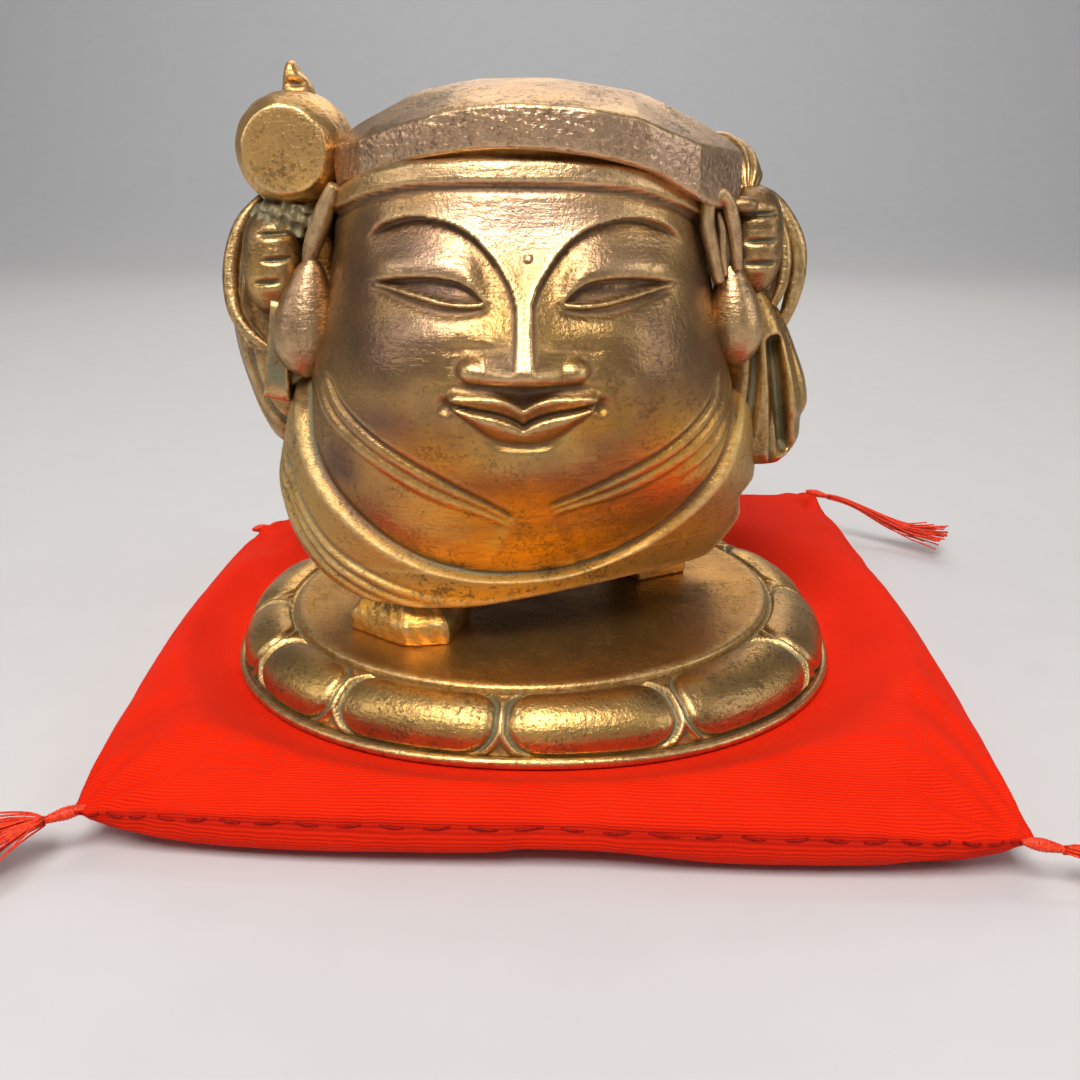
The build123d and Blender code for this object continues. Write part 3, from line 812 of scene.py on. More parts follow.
@dataclass
class Hood:
    """The flat-cut cap over the crown, with a hammered brim that stands out all round."""

    middle: tuple = (-2.5, -2.0)
    crown: float = 116.2
    corners: tuple = (
        (-35.5, -2), (-34, -14), (-28.5, -22), (-17, -30.5), (-1.5, -34.2), (9, -34), (17.5, -31.5),
        (26, -26), (34.8, -14), (35.5, -4), (33, 14), (22, 28), (4, 33), (-16, 30), (-31, 17),
    )
    brim_low: tuple = (
        (-180, 101), (-120, 100), (-75, 98), (-55, 100), (-35, 102.6), (-10, 104.5), (10, 104.3), (35, 101.5),
        (55, 96.6), (66, 95.6), (80, 97), (120, 99), (180, 101),
    )
    brim_high: tuple = (
        (-180, 107), (-120, 106), (-75, 105), (-55, 105.6), (-35, 108), (-10, 110.4), (8, 110.4), (35, 108.3),
        (55, 105), (75, 104.4), (120, 105), (180, 107),
    )
    # bearing in degrees and share of the way out of each flat cut's middle
    cuts: tuple = (
        (-6, 0.80), (-44, 0.80), (-80, 0.72), (32, 0.78), (58, 0.86), (84, 0.70), (0, 0.22), (120, 0.74),
        (160, 0.7), (-160, 0.72), (-120, 0.74), (-24, 0.5), (40, 0.42), (96, 0.35), (-86, 0.35), (176, 0.35),
    )

    def plan(self, bearing: np.ndarray) -> np.ndarray:
        """The brim's distance from the middle at each bearing."""
        about = [(x - self.middle[0], y - self.middle[1]) for x, y in self.corners]
        return flat_sided(bearing, about)

    def dome(self, x: np.ndarray, y: np.ndarray) -> np.ndarray:
        """The uncut cap: from the brim's top edge up to the crown as 1 minus q to the power 2.5.

        Args:
            x: places across.
            y: places back.

        Returns:
            Heights of the uncut cap.
        """
        dx, dy = x - self.middle[0], y - self.middle[1]
        bearing = np.arctan2(dx, -dy)
        q = np.clip(np.hypot(dx, dy) / self.plan(bearing), 0, 1.05)
        edge = through(self.brim_high, 1, np.degrees(bearing))
        return edge + (self.crown - edge) * (1 - q**2.5)

    def cut(self, x: np.ndarray, y: np.ndarray) -> np.ndarray:
        """The cap with flat cuts: the least of the dome's tangent planes, kept near the dome.

        Args:
            x: places across.
            y: places back.

        Returns:
            Heights of the cut cap.
        """
        dome = self.dome(x, y)
        least = dome + 0.45
        for degrees, share in self.cuts:
            b = math.radians(degrees)
            reach = self.plan(np.array([b]))[0] * share
            u, v = self.middle[0] + reach * math.sin(b), self.middle[1] - reach * math.cos(b)
            at = np.array([u, u + 0.5, u - 0.5, u, u])
            to = np.array([v, v, v, v + 0.5, v - 0.5])
            z = self.dome(at, to)
            plane = z[0] + 0.1 + (z[1] - z[2]) * (x - u) + (z[3] - z[4]) * (y - v)
            least = np.minimum(least, plane)
        return least

    def build(self, material: bpy.types.Material) -> None:
        """Makes the hood as rings: underside, brim face, then the cap inwards to the crown.

        Args:
            material: the finish to dress it in.
        """
        bearing = np.linspace(-math.pi, math.pi, 600, endpoint=False)
        plan = self.plan(bearing)
        low = through(self.brim_low, 1, np.degrees(bearing))
        dx, dy = np.sin(bearing), -np.cos(bearing)
        rings, marks, warm = [], [], []

        def ring(reach: np.ndarray, z: np.ndarray, mark: float, rose_and_highlight: float = 0.8) -> None:
            """Adds one ring with its hammered and rose shares.

            Args:
                reach: distances from the middle.
                z: heights.
                mark: hammered share.
                rose_and_highlight: rose share.
            """
            rings.append(np.stack([self.middle[0] + reach * dx, self.middle[1] + reach * dy, z], -1))
            marks.append(np.full(len(bearing), mark))
            warm.append(np.full(len(bearing), rose_and_highlight))

        edge_x, edge_y = self.middle[0] + plan * dx, self.middle[1] + plan * dy
        high = self.cut(edge_x, edge_y)
        ring(plan - 6.0, low + 2.5, 0)
        ring(plan - 2.5, low + 0.7, 0)
        ring(plan - 0.5, low, 0)
        ring(plan, low + 0.35, 0.3)
        for share in np.linspace(0.1, 0.93, 22):
            z = low + (high - low) * share
            dent = 0.05 * np.sin(bearing * 61 + 7 * share) * np.sin(bearing * 37 - 19 * share + 2)
            ring(plan + dent + 0.2 * np.sin(math.pi * share), z, 1)
        ring(plan, high - 0.15, 0.3)
        for q in np.concatenate([[0.992, 0.98], np.linspace(0.965, 0.03, 70)]):
            reach = plan * q
            x, y = self.middle[0] + reach * dx, self.middle[1] + reach * dy
            ring(reach, self.cut(x, y), 0, 0.3)
        made = closed_grid("cut_hood", np.stack(rings), 6)
        note(made, "hammer", np.concatenate([np.stack(marks).ravel(), [0.0, 0.0]]))
        note(made, "rose_and_highlight", np.concatenate([np.stack(warm).ravel(), [0.8, 0.3]]))
        finish_piece(made, Body.FIGURE, "figure_bronze", material, "hood", "hood_pins")


def add_rings(name: str, parts: list[np.ndarray], hollow: list[float], passes: int = 6) -> bpy.types.Object:
    """Several closed shells as one object; each adds its own painted shade to the hollow mark.

    Args:
        name: what to call it.
        parts: the shells, each rings by points by 3.
        hollow: painted shade added to each shell, for parts that lie in shade.
        passes: how wide the relief marks reach.

    Returns:
        The object.
    """
    points, faces, hollows, prouds, start = [], [], [], [], 0
    for shell, added_shade in zip(parts, hollow):
        piece = closed_grid(name + "_part", shell, passes)
        mesh = piece.data
        count = len(mesh.vertices)
        place = np.empty(count * 3, np.float32)
        mesh.vertices.foreach_get("co", place)
        for store, key in ((hollows, "hollow"), (prouds, "proud")):
            values = np.empty(count, np.float32)
            mesh.attributes[key].data.foreach_get("value", values)
            store.append(np.clip(values + (added_shade if key == "hollow" else 0.0), 0, 1))
        points.append(place.reshape(-1, 3) / MM)
        faces += [[start + k for k in poly.vertices] for poly in mesh.polygons]
        start += count
        bpy.data.objects.remove(piece)
        bpy.data.meshes.remove(mesh)
    made = new_object(name, np.concatenate(points), faces)
    note(made, "hollow", np.concatenate(hollows))
    note(made, "proud", np.concatenate(prouds))
    return made


@dataclass
class Ears:
    """Long teardrop lobes on both sides, with the rim of the ear above each."""

    figure_right: tuple = ((-41.0, -14.2, 76.5), (5.9, 5.3, 10.8), 2.0)
    figure_left: tuple = ((35.7, -13.6, 77.8), (5.0, 5.2, 9.5), -2.0)
    left_rim: tuple = (
        (31.6, -17.6, 83.5), (29.9, -18.8, 89.0), (28.6, -19.6, 94.0), (28.9, -19.6, 96.9),
        (30.3, -19.0, 98.2), (32.0, -18.0, 97.0), (33.3, -17.2, 93.8), (34.2, -16.4, 90.0),
        (35.0, -15.4, 85.5),
    )
    left_fold: tuple = ((30.8, -17.4, 95.0), (31.6, -17.4, 92.0), (31.9, -17.2, 88.5), (32.8, -16.4, 84.5))
    # the bowl inside the open ear, painted dark as shade
    left_bowl: tuple = ((31.6, -14.6, 90.5), (2.9, 2.0, 6.8))
    right_rim: tuple = (
        (-40.0, -13.0, 85.0), (-38.8, -14.5, 88.5), (-37.0, -15.6, 92.5), (-35.2, -16.6, 96.3),
        (-33.8, -17.4, 99.0),
    )

    @staticmethod
    def lobe(centre: tuple, radii: tuple, lean: float) -> np.ndarray:
        """A teardrop: a full round bottom drawn up to a leaning tip.

        Ring t goes from 0 at the bottom to 1 at the tip; its radius follows a drawn profile and its
        middle shifts sideways by lean times t to the power 2.5.

        Args:
            centre: the lobe's middle.
            radii: half sizes along x, y and z.
            lean: how far its tip leans sideways.

        Returns:
            Rings by points by 3.
        """
        t = (1 - np.cos(np.linspace(0.03, math.pi - 0.03, 56))) / 2
        size = through(
            ((0, 0.0), (0.02, 0.24), (0.06, 0.48), (0.14, 0.75), (0.25, 0.94), (0.38, 1.0), (0.52, 0.93))
            + ((0.66, 0.79), (0.8, 0.58), (0.92, 0.35), (1.0, 0.06)), 1, t)
        turn = np.linspace(0, FULL_TURN, 64, endpoint=False)
        x = centre[0] + lean * t[:, None] ** 2.5 + radii[0] * size[:, None] * np.cos(turn)
        y = centre[1] + radii[1] * size[:, None] * np.sin(turn)
        z = centre[2] + radii[2] * (2 * t[:, None] - 1) + 0 * x
        return np.stack([x, y, z], -1)

    @staticmethod
    def swelling(count: int, low: float, high: float) -> np.ndarray:
        """Radii that grow from low to high in the middle as the root of a sine, and shrink again."""
        return low + (high - low) * np.sin(np.linspace(0.1, math.pi - 0.1, count)) ** 0.5

    def build(self, material: bpy.types.Material) -> None:
        """Makes the lobes, the ear rims and the bowl inside the open one, painted dark as shade.

        Args:
            material: the finish to dress it in.
        """
        parts = [
            self.lobe(*self.figure_right),
            self.lobe(*self.figure_left),
            carried(drawn(self.left_rim, 60), self.swelling(60, 0.8, 1.35), 20, 1.0),
            carried(drawn(self.left_fold, 30), self.swelling(30, 0.4, 0.75), 16),
            carried(drawn(self.right_rim, 40), self.swelling(40, 0.6, 1.7), 20),
            egg(*self.left_bowl, 30, 40),
        ]
        # painted shade: a little on the fold, more on the far rim, most on the bowl inside the open ear
        made = add_rings("ear_lobes", parts, [0, 0, 0.0, 0.1, 0.35, 0.9])
        note(made, "rose_and_highlight", np.full(len(made.data.vertices), 0.4))
        finish_piece(made, Body.FIGURE, "figure_bronze", material)


@dataclass
class RaisedArm:
    """A wide sleeve with folds, and the fist that comes out of it, modelled as separate shells."""

    @staticmethod
    def sleeve(rows: tuple, relief: tuple, columns: int = 120, fullness: float = 2.6) -> np.ndarray:
        """Rings of a hanging sleeve, with lines drawn on its front.

        Args:
            rows: (z, outer x, inner x, front y, back y) knots from the bottom up.
            relief: (line of (x, z) points, minus the depth, half width) of each groove.
            columns: points round each ring.
            fullness: power of the ring's superellipse.

        Returns:
            Rings by points by 3.
        """
        z = np.linspace(rows[0][0], rows[-1][0], 120)
        outer, inner, near, far = (through(rows, k, z)[:, None] for k in range(1, 5))
        turn = np.linspace(0, FULL_TURN, columns, endpoint=False)
        cx, sx = np.cos(turn)[None], np.sin(turn)[None]
        flat = (np.abs(cx) ** fullness + np.abs(sx) ** fullness) ** (-1 / fullness)
        x = (outer + inner) / 2 + (outer - inner) / 2 * flat * cx
        y = (near + far) / 2 + (far - near) / 2 * flat * sx
        z = np.broadcast_to(z[:, None], x.shape).copy()
        front = ease(0.1, -0.35, flat * sx) * np.ones_like(x)
        for line, depth, width in relief:
            away, share = beside(drawn(line, 40), x, z, 6.0)
            alive = ease(0, 0.08, share) * ease(1.0, 0.9, share)
            y = y - depth * swell(away, width) * front * alive
        return np.stack([x, y, z], -1)

    @staticmethod
    def fist(centre: tuple, radii: tuple, cuts: tuple, side: float, fullness: float = 2.5) -> np.ndarray:
        """A closed hand: a rounded block with short level cuts between the fingers.

        Args:
            centre: middle of the block.
            radii: half sizes of the block.
            cuts: (x, z) middle of each cut.
            side: half length of the cuts.
            fullness: how square the block is.

        Returns:
            Rings by points by 3.
        """
        points = egg(centre, radii, 90, 110, fullness)
        x, y, z = points[..., 0], points[..., 1], points[..., 2]
        front = ease(0.0, -0.4, (y - centre[1]) / radii[1])
        for cx, cz in cuts:
            away = z - cz - 0.06 * (x - cx)
            reach = np.exp(-(((x - cx) / side) ** 4))
            pads = 0.25 * swell(away - 1.3, 0.9) + 0.25 * swell(away + 1.3, 0.9)
            y += (swell(away, 0.4) - pads) * reach * front
        return points


@dataclass
class FigureRightArm(RaisedArm):
    """The arm that lifts the mallet: rolled sleeve edge, flat hanging flap and a knotted fist."""

    # height, outer x, inner x, front y and back y, from the bottom up
    levels: tuple = (
        (50.2, -48.5, -40.0, -3.5, 3.0), (52.5, -50.6, -38.0, -6.5, 7.0), (56.4, -52.8, -36.0, -8.5, 11.0),
        (62.8, -55.0, -34.0, -10.0, 14.0), (70.0, -56.8, -34.0, -10.5, 15.5),
        (78.2, -57.5, -34.0, -9.0, 16.0), (84.2, -57.0, -34.0, -6.5, 15.5),
        (91.0, -54.3, -34.0, -3.5, 13.0), (95.5, -50.8, -36.0, -1.0, 9.0), (98.0, -47.5, -38.0, 0.5, 6.0),
    )
    # grooves: places across and up, minus the depth, half width
    grooves: tuple = (
        (((-55.3, 93), (-55.2, 86), (-55.4, 78.5), (-53.9, 74.4), (-51.5, 72), (-49.5, 70.5)), -2.2, 0.75),
        (((-56.0, 80.0), (-56.2, 74.0), (-54.8, 67.0), (-52.3, 60.0), (-49.5, 54.5)), -0.6, 0.5),
        (((-52.6, 71.0), (-52.0, 66.0), (-50.4, 61.0), (-48.2, 57.5), (-45.0, 55.5)), -0.9, 0.7),
    )
    roll: tuple = (
        (-49.4, -4.5, 96.6), (-52.6, -6.0, 92.6), (-54.6, -7.2, 87.0), (-55.0, -8.6, 81.0),
        (-53.8, -10.2, 76.0), (-51.0, -11.2, 72.6), (-47.6, -11.6, 70.2),
    )
    roll_radius: float = 1.5
    # outline across and up, then the front and back faces
    flap: tuple = (((-49.2, 62.4), (-44.4, 61.4), (-43.9, 79.0), (-46.6, 79.8)), -15.2, -9.0)
    under_flap: tuple = (((-44.8, 63.5), (-41.4, 65.0), (-41.8, 80.0), (-44.4, 79.0)), -12.6, -7.0)
    hand: tuple = ((-46.4, -7.2, 85.6), (5.9, 8.6, 9.6), ((-45.2, 90.8), (-44.9, 86.6), (-47.0, 82.7)), 2.3)
    thumb_side: tuple = ((-43.4, -7.5, 92.8), (7.2, 6.6, 4.2))

    def crag(self) -> np.ndarray:
        """The rough lump under the mallet: an egg pushed about by crossed sine waves.

        Returns:
            Rings by points by 3.
        """
        lump = egg(*self.thumb_side, 60, 90, 2.2)
        x, z = lump[..., 0], lump[..., 2]
        lump[..., 1] += 0.9 * np.sin(2.1 * x + 0.9 * z) * np.sin(1.7 * z - 1.1 * x + 0.6)
        lump[..., 2] += 0.5 * np.sin(1.6 * x + 1.3) * np.sin(2.3 * z)
        return lump

    def build(self, material: bpy.types.Material) -> None:
        """Makes the arm: sleeve, rolled edge, two flaps, fist and the lump under the mallet.

        Args:
            material: the finish to dress it in.
        """
        wide = self.roll_radius * np.sin(np.linspace(0.15, math.pi - 0.1, 60)) ** 0.45
        parts = [
            self.sleeve(self.levels, self.grooves),
            carried(drawn(self.roll, 60), wide, 20),
            self.slab(*self.flap),
            self.slab(*self.under_flap),
            self.fist(*self.hand),
            self.crag(),
        ]
        # painted shade on the flap behind and on the lump under the mallet
        made = add_rings("right_arm_casting", parts, [0.0, 0.0, 0.0, 0.45, 0.0, 0.75])
        finish_piece(made, Body.FIGURE, "figure_bronze", material, "arm_right")

    @staticmethod
    def slab(corners: Points, near: float, far: float) -> np.ndarray:
        """A flat board with eased edges: its outline (x, z) shrunk a little at both faces.

        Args:
            corners: the outline across and up.
            near: y of its front.
            far: y of its back.

        Returns:
            Rings by points by 3.
        """
        ring = np.array([*corners, corners[0]], float)
        step = np.linspace(0, len(corners), 81)[:-1]
        edge = np.column_stack([np.interp(step, np.arange(len(corners) + 1), ring[:, k]) for k in (0, 1)])
        middle = edge.mean(0)
        rings = []
        faces = ((0.55, near + 0.02), (0.84, near), (0.93, near + 0.12), (1.0, near + 0.6), (1.0, far))
        for shrink, y in faces:
            flat = middle + (edge - middle) * shrink
            rings.append(np.column_stack([flat[:, 0], np.full(len(flat), y), flat[:, 1]]))
        return np.stack(rings)


@dataclass
class FigureLeftArm(RaisedArm):
    """The arm that holds the sack: fist with a thumb, rolled sleeve edge and a pleated fan of cloth."""

    hand: tuple = ((38.6, -5.6, 89.6), (5.6, 8.4, 9.6), ((38.9, 94.6), (39.3, 90.2), (39.6, 86.4)), 2.7)
    thumb: tuple = ((35.6, -13.6, 96.1), (2.6, 2.2, 1.5))
    wrist: tuple = ((41.0, 3.0, 86.0), (6.2, 8.5, 12.5))
    outer_roll: tuple = (
        (38.6, -2.5, 99.0), (42.6, -3.4, 96.6), (45.4, -4.2, 93.0), (47.3, -4.8, 88.8), (47.7, -5.2, 84.0),
        (46.9, -5.6, 79.0), (45.4, -6.0, 74.5),
    )
    inner_roll: tuple = (
        (38.4, -3.0, 98.0), (41.8, -4.6, 95.4), (44.0, -6.2, 91.2), (44.8, -7.4, 86.4), (44.4, -8.2, 82.0),
        (43.0, -8.8, 78.4),
    )
    # height, outer x, inner x, front y and back y, from the bottom up
    levels: tuple = (
        (49.4, 47.6, 34.5, -11.0, 6.0), (51.0, 48.8, 33.5, -13.0, 8.0), (53.6, 50.4, 33.0, -13.4, 9.5),
        (58.0, 50.8, 33.0, -13.6, 10.5), (60.0, 51.6, 33.0, -13.6, 11.0), (64.0, 51.2, 33.0, -13.4, 11.0),
        (70.0, 48.9, 33.0, -12.8, 10.5), (76.0, 46.0, 33.5, -12.0, 9.5), (81.0, 42.8, 34.0, -10.5, 8.0),
        (85.0, 41.0, 36.0, -8.0, 5.0),
    )
    # grooves: places across and up, minus the depth, half width
    grooves: tuple = (
        (((43.0, 74.0), (44.0, 68.0), (45.2, 60.0), (46.8, 51.0)), -5.5, 1.15),
        (((42.4, 73.0), (43.0, 66.0), (43.6, 58.0), (44.2, 49.0)), -1.2, 0.5),
        (((44.8, 76.0), (47.2, 69.5), (49.0, 63.0), (49.8, 57.0)), -0.9, 0.6),
        (((43.2, 79.0), (45.6, 72.0), (47.6, 65.0), (48.8, 59.0)), -0.55, 0.45),
        (((39.4, 76.0), (39.8, 66.0), (39.2, 57.0), (37.6, 49.0)), -1.6, 0.9),
    )

    def build(self, material: bpy.types.Material) -> None:
        """Makes the arm: fist, thumb, two rolled edges, wrist and the fan of pleats.

        Args:
            material: the finish to dress it in.
        """
        thick = np.sin(np.linspace(0.2, math.pi - 0.2, 60)) ** 0.4
        parts = [
            self.fist(*self.hand),
            egg(*self.thumb, 30, 40, 2.3),
            carried(drawn(self.outer_roll, 60), 1.75 * thick, 20),
            carried(drawn(self.inner_roll, 60), 1.3 * thick, 20),
            egg(*self.wrist, 60, 70, 2.3),
            self.sleeve(self.levels, self.grooves, 150),
        ]
        # painted shade on the inner rolled edge and on the wrist behind the fist
        made = add_rings("left_arm_casting", parts, [0.0, 0.0, 0.0, 0.1, 0.25, 0.0])
        finish_piece(made, Body.FIGURE, "figure_bronze", material, "arm_left", "arm_dowels")


@dataclass
class Mallet:
    """The lucky mallet: a barrel lying front to back with a flat face, and a broken-looking stub."""

    middle: tuple = (-42.5, 104.5)
    stub: tuple = ((-41.7, -3.0, 114.9), (2.75, 3.4, 4.3))
    profile: tuple = (
        (-15.0, 0.15), (-15.02, 2.0), (-15.0, 5.0), (-14.95, 6.9), (-14.75, 7.2), (-14.3, 7.45),
        (-13.4, 8.15), (-11.6, 9.0), (-9.0, 9.6), (-6.0, 9.95), (-2.5, 10.1), (1.0, 9.8), (4.0, 9.1),
        (6.6, 8.1), (8.4, 7.2), (8.9, 6.6), (9.0, 0.2),
    )

    def build(self, material: bpy.types.Material) -> None:
        """Makes the barrel as a turned profile with faint dents, and its stub.

        Args:
            material: the finish to dress it in.
        """
        table = np.array(self.profile)
        step = np.concatenate([[0.0], np.cumsum(np.hypot(*np.diff(table, axis=0).T))])
        at = np.linspace(0, step[-1], 90)
        y = np.interp(at, step, table[:, 0])
        reach = np.interp(at, step, table[:, 1])
        turn = np.linspace(0, FULL_TURN, 120, endpoint=False)
        dent = 0.07 * np.sin(5 * turn[None] + 0.5 * y[:, None]) + 0.05 * np.sin(11 * turn[None] - y[:, None])
        wide = np.maximum(reach[:, None] + dent * (reach[:, None] > 7.3), 0.1)
        x = self.middle[0] + wide * np.cos(turn)
        z = self.middle[1] + wide * np.sin(turn)
        barrel = np.stack([x, np.broadcast_to(y[:, None], x.shape), z], -1)
        made = add_rings("mallet_barrel", [barrel], [0.0])
        finish_piece(made, Body.FIGURE, "figure_bronze", material, "mallet_head")
        stub = egg(*self.stub, 60, 70, 3.0)
        x, y, z = stub[..., 0], stub[..., 1], stub[..., 2]
        up = ease(113.5, 119.2, z)
        x -= 0.55 * up * (x + 41.7) + 0.9 * up
        z -= 0.75 * ease(-42.6, -40.8, x) * ease(116.0, 118.5, z)
        y += 1.2 * swell(np.hypot((x + 41.4) / 1.9, (z - 115.4) / 0.6), 1.0) * (y < -3)
        stub_made = add_rings("mallet_stub", [stub], [0.0])
        finish_piece(stub_made, Body.FIGURE, "figure_bronze", material, "mallet_handle")


@dataclass
class Sack:
    """The treasure sack on the back, gathered into a folded neck that the left hand holds."""

    path: tuple = (
        (37.6, -6.0, 97.6), (37.4, -3.0, 100.2), (36.0, 2.0, 102.0), (33.8, 7.0, 102.4), (31.0, 12.5, 99.8),
        (27.0, 18.0, 94.0), (22.5, 22.0, 87.0), (19.0, 24.5, 80.0), (16.5, 24.5, 72.0), (15.0, 23.0, 65.5),
    )
    size: tuple = (
        (0, 1.2), (0.07, 3.2), (0.16, 4.6), (0.26, 6.0), (0.36, 8.2), (0.48, 12.5), (0.6, 16.8), (0.72, 18.8),
        (0.84, 16.8), (0.94, 10.5), (1.0, 1.5),
    )

    def build(self, material: bpy.types.Material) -> None:
        """Makes the sack as a swelling tube whose folds fade as it widens.

        Args:
            material: the finish to dress it in.
        """
        line = drawn(self.path, 130)
        share = np.linspace(0, 1, 130)
        reach = through(self.size, 1, share)
        shell = carried(line, reach, 220)
        turn = np.linspace(0, FULL_TURN, 220, endpoint=False)
        deep = 0.16 * ease(0.75, 0.1, share)[:, None]
        fold = np.abs(np.sin(4.5 * turn[None] + 0.8 * np.sin(9 * share[:, None]))) ** 0.7 - 0.6
        minor = 0.35 * np.sin(13 * turn[None] + 5 * share[:, None])
        shell = line[:, None] + (shell - line[:, None]) * (1 + deep * (fold + minor))[..., None]
        made = add_rings("treasure_sack", [shell], [0.0], 10)
        finish_piece(made, Body.FIGURE, "figure_bronze", material, "sack")


# ---- base
@dataclass
class LotusBase:
    """The oval lotus seat: thin lip, twelve pillow petals and the sunk line round the deck."""

    lip: tuple = (59.4, 55.9)
    fullness: float = 2.17
    lip_width: float = 1.9
    petal_rows: int = 76
    petal_arc: float = math.pi * 0.56
    petal_foot: float = 11.6
    petal_height: float = 7.4
    # bearing from +X in degrees and the number of the petal edge there
    edges: tuple = (
        (-203, -4), (-173, -3), (-151, -2), (-127, -1), (-95.5, 0), (-62.8, 1), (-28, 2), (3.5, 3), (32, 4),
        (63, 5), (95, 6), (127, 7), (157, 8), (187, 9), (209, 10),
    )

    def outer(self, angle: np.ndarray) -> np.ndarray:
        """The lip's distance from the middle: |x/a|^p + |y/b|^p = 1."""
        wide = np.abs(np.cos(angle) / self.lip[0]) ** self.fullness
        return (wide + np.abs(np.sin(angle) / self.lip[1]) ** self.fullness) ** (-1 / self.fullness)

    @staticmethod
    def deck_edge(angle: np.ndarray) -> np.ndarray:
        """The deck's distance from the middle, an uneven oval."""
        return 46.6 + 1.0 * np.cos(2 * angle) + 2.2 * np.sin(2 * angle) * 0.6

    def petals(self, angle: np.ndarray, along: np.ndarray) -> np.ndarray:
        """Height of the petal relief.

        Each petal is a rounded rectangle on the ring; d is the signed distance to its edge, below 0
        inside.  The pillow is 1 - exp(d/2.2), with a groove at d = 0 and a rib at d = 0.9.

        Args:
            angle: angle from +X, in radians.
            along: share of the way from the lip to the deck.

        Returns:
            Outward shift, in millimetres.
        """
        place = through(self.edges, 1, np.degrees(angle))
        across = np.abs(place - np.floor(place) - 0.5)
        width = np.gradient(place, axis=-1) / np.gradient(angle, axis=-1)
        arc = self.outer(angle) * 0.93 / np.maximum(np.abs(width), 1e-6)
        half, tall, corner = arc / 2 - 1.0, 8.8, 6.8
        u = across * arc
        v = np.abs(along * 16.4 - 8.2)
        qx, qy = np.maximum(u - half + corner, 0), np.maximum(v - tall + corner, 0)
        inner = np.minimum(np.maximum(u - half + corner, v - tall + corner), 0)
        d = np.hypot(qx, qy) + inner - corner
        pillow = 1.35 * (1 - np.exp(np.minimum(d, 0) / 2.4))
        rib = 0.75 * swell(d - 0.95, 0.55) - 0.65 * swell(d - 0.05, 0.42)
        inner_line = 0.12 * swell(d + 1.3, 0.5)
        return pillow + rib + inner_line - 0.35 * ease(1.4, 2.2, d)

    def build(self, material: bpy.types.Material, deck_material: bpy.types.Material) -> None:
        """Makes the base from its underside up over the petals to the line round the deck.

        Args:
            material: the petal ring's finish.
            deck_material: the deck's finish.
        """
        angle = np.linspace(-math.pi, math.pi, 840, endpoint=False)
        outer, deck = self.outer(angle), self.deck_edge(angle)
        petal_out, petal_in = outer - self.lip_width, deck + 1.0
        rings, marks = [], []

        def ring(reach: np.ndarray, z: np.ndarray | float, mark: float = 0.0) -> None:
            """Adds one ring at a distance and height, with its own painted shade."""
            rings.append(np.stack([reach * np.cos(angle), reach * np.sin(angle), z + 0 * reach], -1))
            marks.append(np.full(len(angle), mark))

        wave = 0.12 * np.sin(3 * angle + 0.4) + 0.08 * np.sin(7 * angle)
        for inset, z in ((14, 12.5), (4, 10.1), (0.7, 10.0), (0.1, 10.4), (0.0, 11.0)):
            ring(outer - inset, z)
        # painted shade in the groove between lip and petals
        for inset, z, mark in ((0.15, 11.55, 0.0), (0.8, 11.85, 0.0), (1.5, 11.6, 0.3), (2.1, 11.0, 1.0)):
            ring(outer - inset, z + wave, mark)
        ring(petal_out - 0.5, 11.0 + wave, 1.0)
        for share in np.linspace(0, 1, self.petal_rows):
            turn = share * self.petal_arc
            out = 1 - (1 - math.cos(turn)) / (1 - math.cos(self.petal_arc))
            shift = self.petals(angle, np.full_like(angle, share))
            fade = min(1.0, share / 0.05) * min(1.0, (1 - share) / 0.04)
            outwards = shift * fade * math.cos(min(turn, math.pi / 2)) * 0.9
            upwards = shift * fade * math.sin(min(turn, math.pi / 2))
            rise = self.petal_height * math.sin(turn) ** 0.86
            ring(petal_in + (petal_out - petal_in) * out + outwards, self.petal_foot + rise + upwards)
        # painted shade in the gap round the deck plate
        ring(deck + 0.75, 18.9, 0.5)
        for inset, z in ((-0.45, 18.5), (-0.1, 18.4), (1.5, 18.3), (20, 18.0)):
            ring(deck - inset, z, 1)
        made = closed_grid("lotus_casting", np.stack(rings), 5)
        layer = made.data.attributes["hollow"].data
        kept = np.empty(len(layer), np.float32)
        layer.foreach_get("value", kept)
        # the rings' painted shade, added to the hollow mark
        added_shade = np.concatenate([np.stack(marks).ravel(), [0.0, 0.0]])
        layer.foreach_set("value", np.clip(kept + added_shade, 0, 1).astype(np.float32))
        finish_piece(made, Body.FIGURE, "base_bronze", material, "lotus_base")
        self.plate(angle, deck, deck_material)

    @staticmethod
    def plate(angle: np.ndarray, edge: np.ndarray, material: bpy.types.Material) -> None:
        """Makes the plate inside the line, faintly dished and hand smoothed.

        Args:
            angle: angles round the base.
            edge: the deck's distance at each angle.
            material: the finish to dress it in.
        """
        rings = []
        for inset, z in ((2.0, 16.2), (0.2, 16.0), (-0.05, 16.6), (-0.05, 19.5), (0.2, 19.95), (0.7, 20.12)):
            reach = edge - inset
            rings.append(np.stack([reach * np.cos(angle), reach * np.sin(angle), np.full_like(reach, z)], -1))
        for share in np.linspace(0.97, 0.02, 60):
            reach = edge * share
            x, y = reach * np.cos(angle), reach * np.sin(angle)
            z = 20.16 + 0.03 * np.sin(0.21 * x + 0.4 * y) * np.sin(0.33 * y + 1)
            rings.append(np.stack([x, y, z], -1))
        made = closed_grid("deck_plate", np.stack(rings)[:, ::2], 5)
        finish_piece(made, Body.FIGURE, "deck_bronze", material, "base_deck")


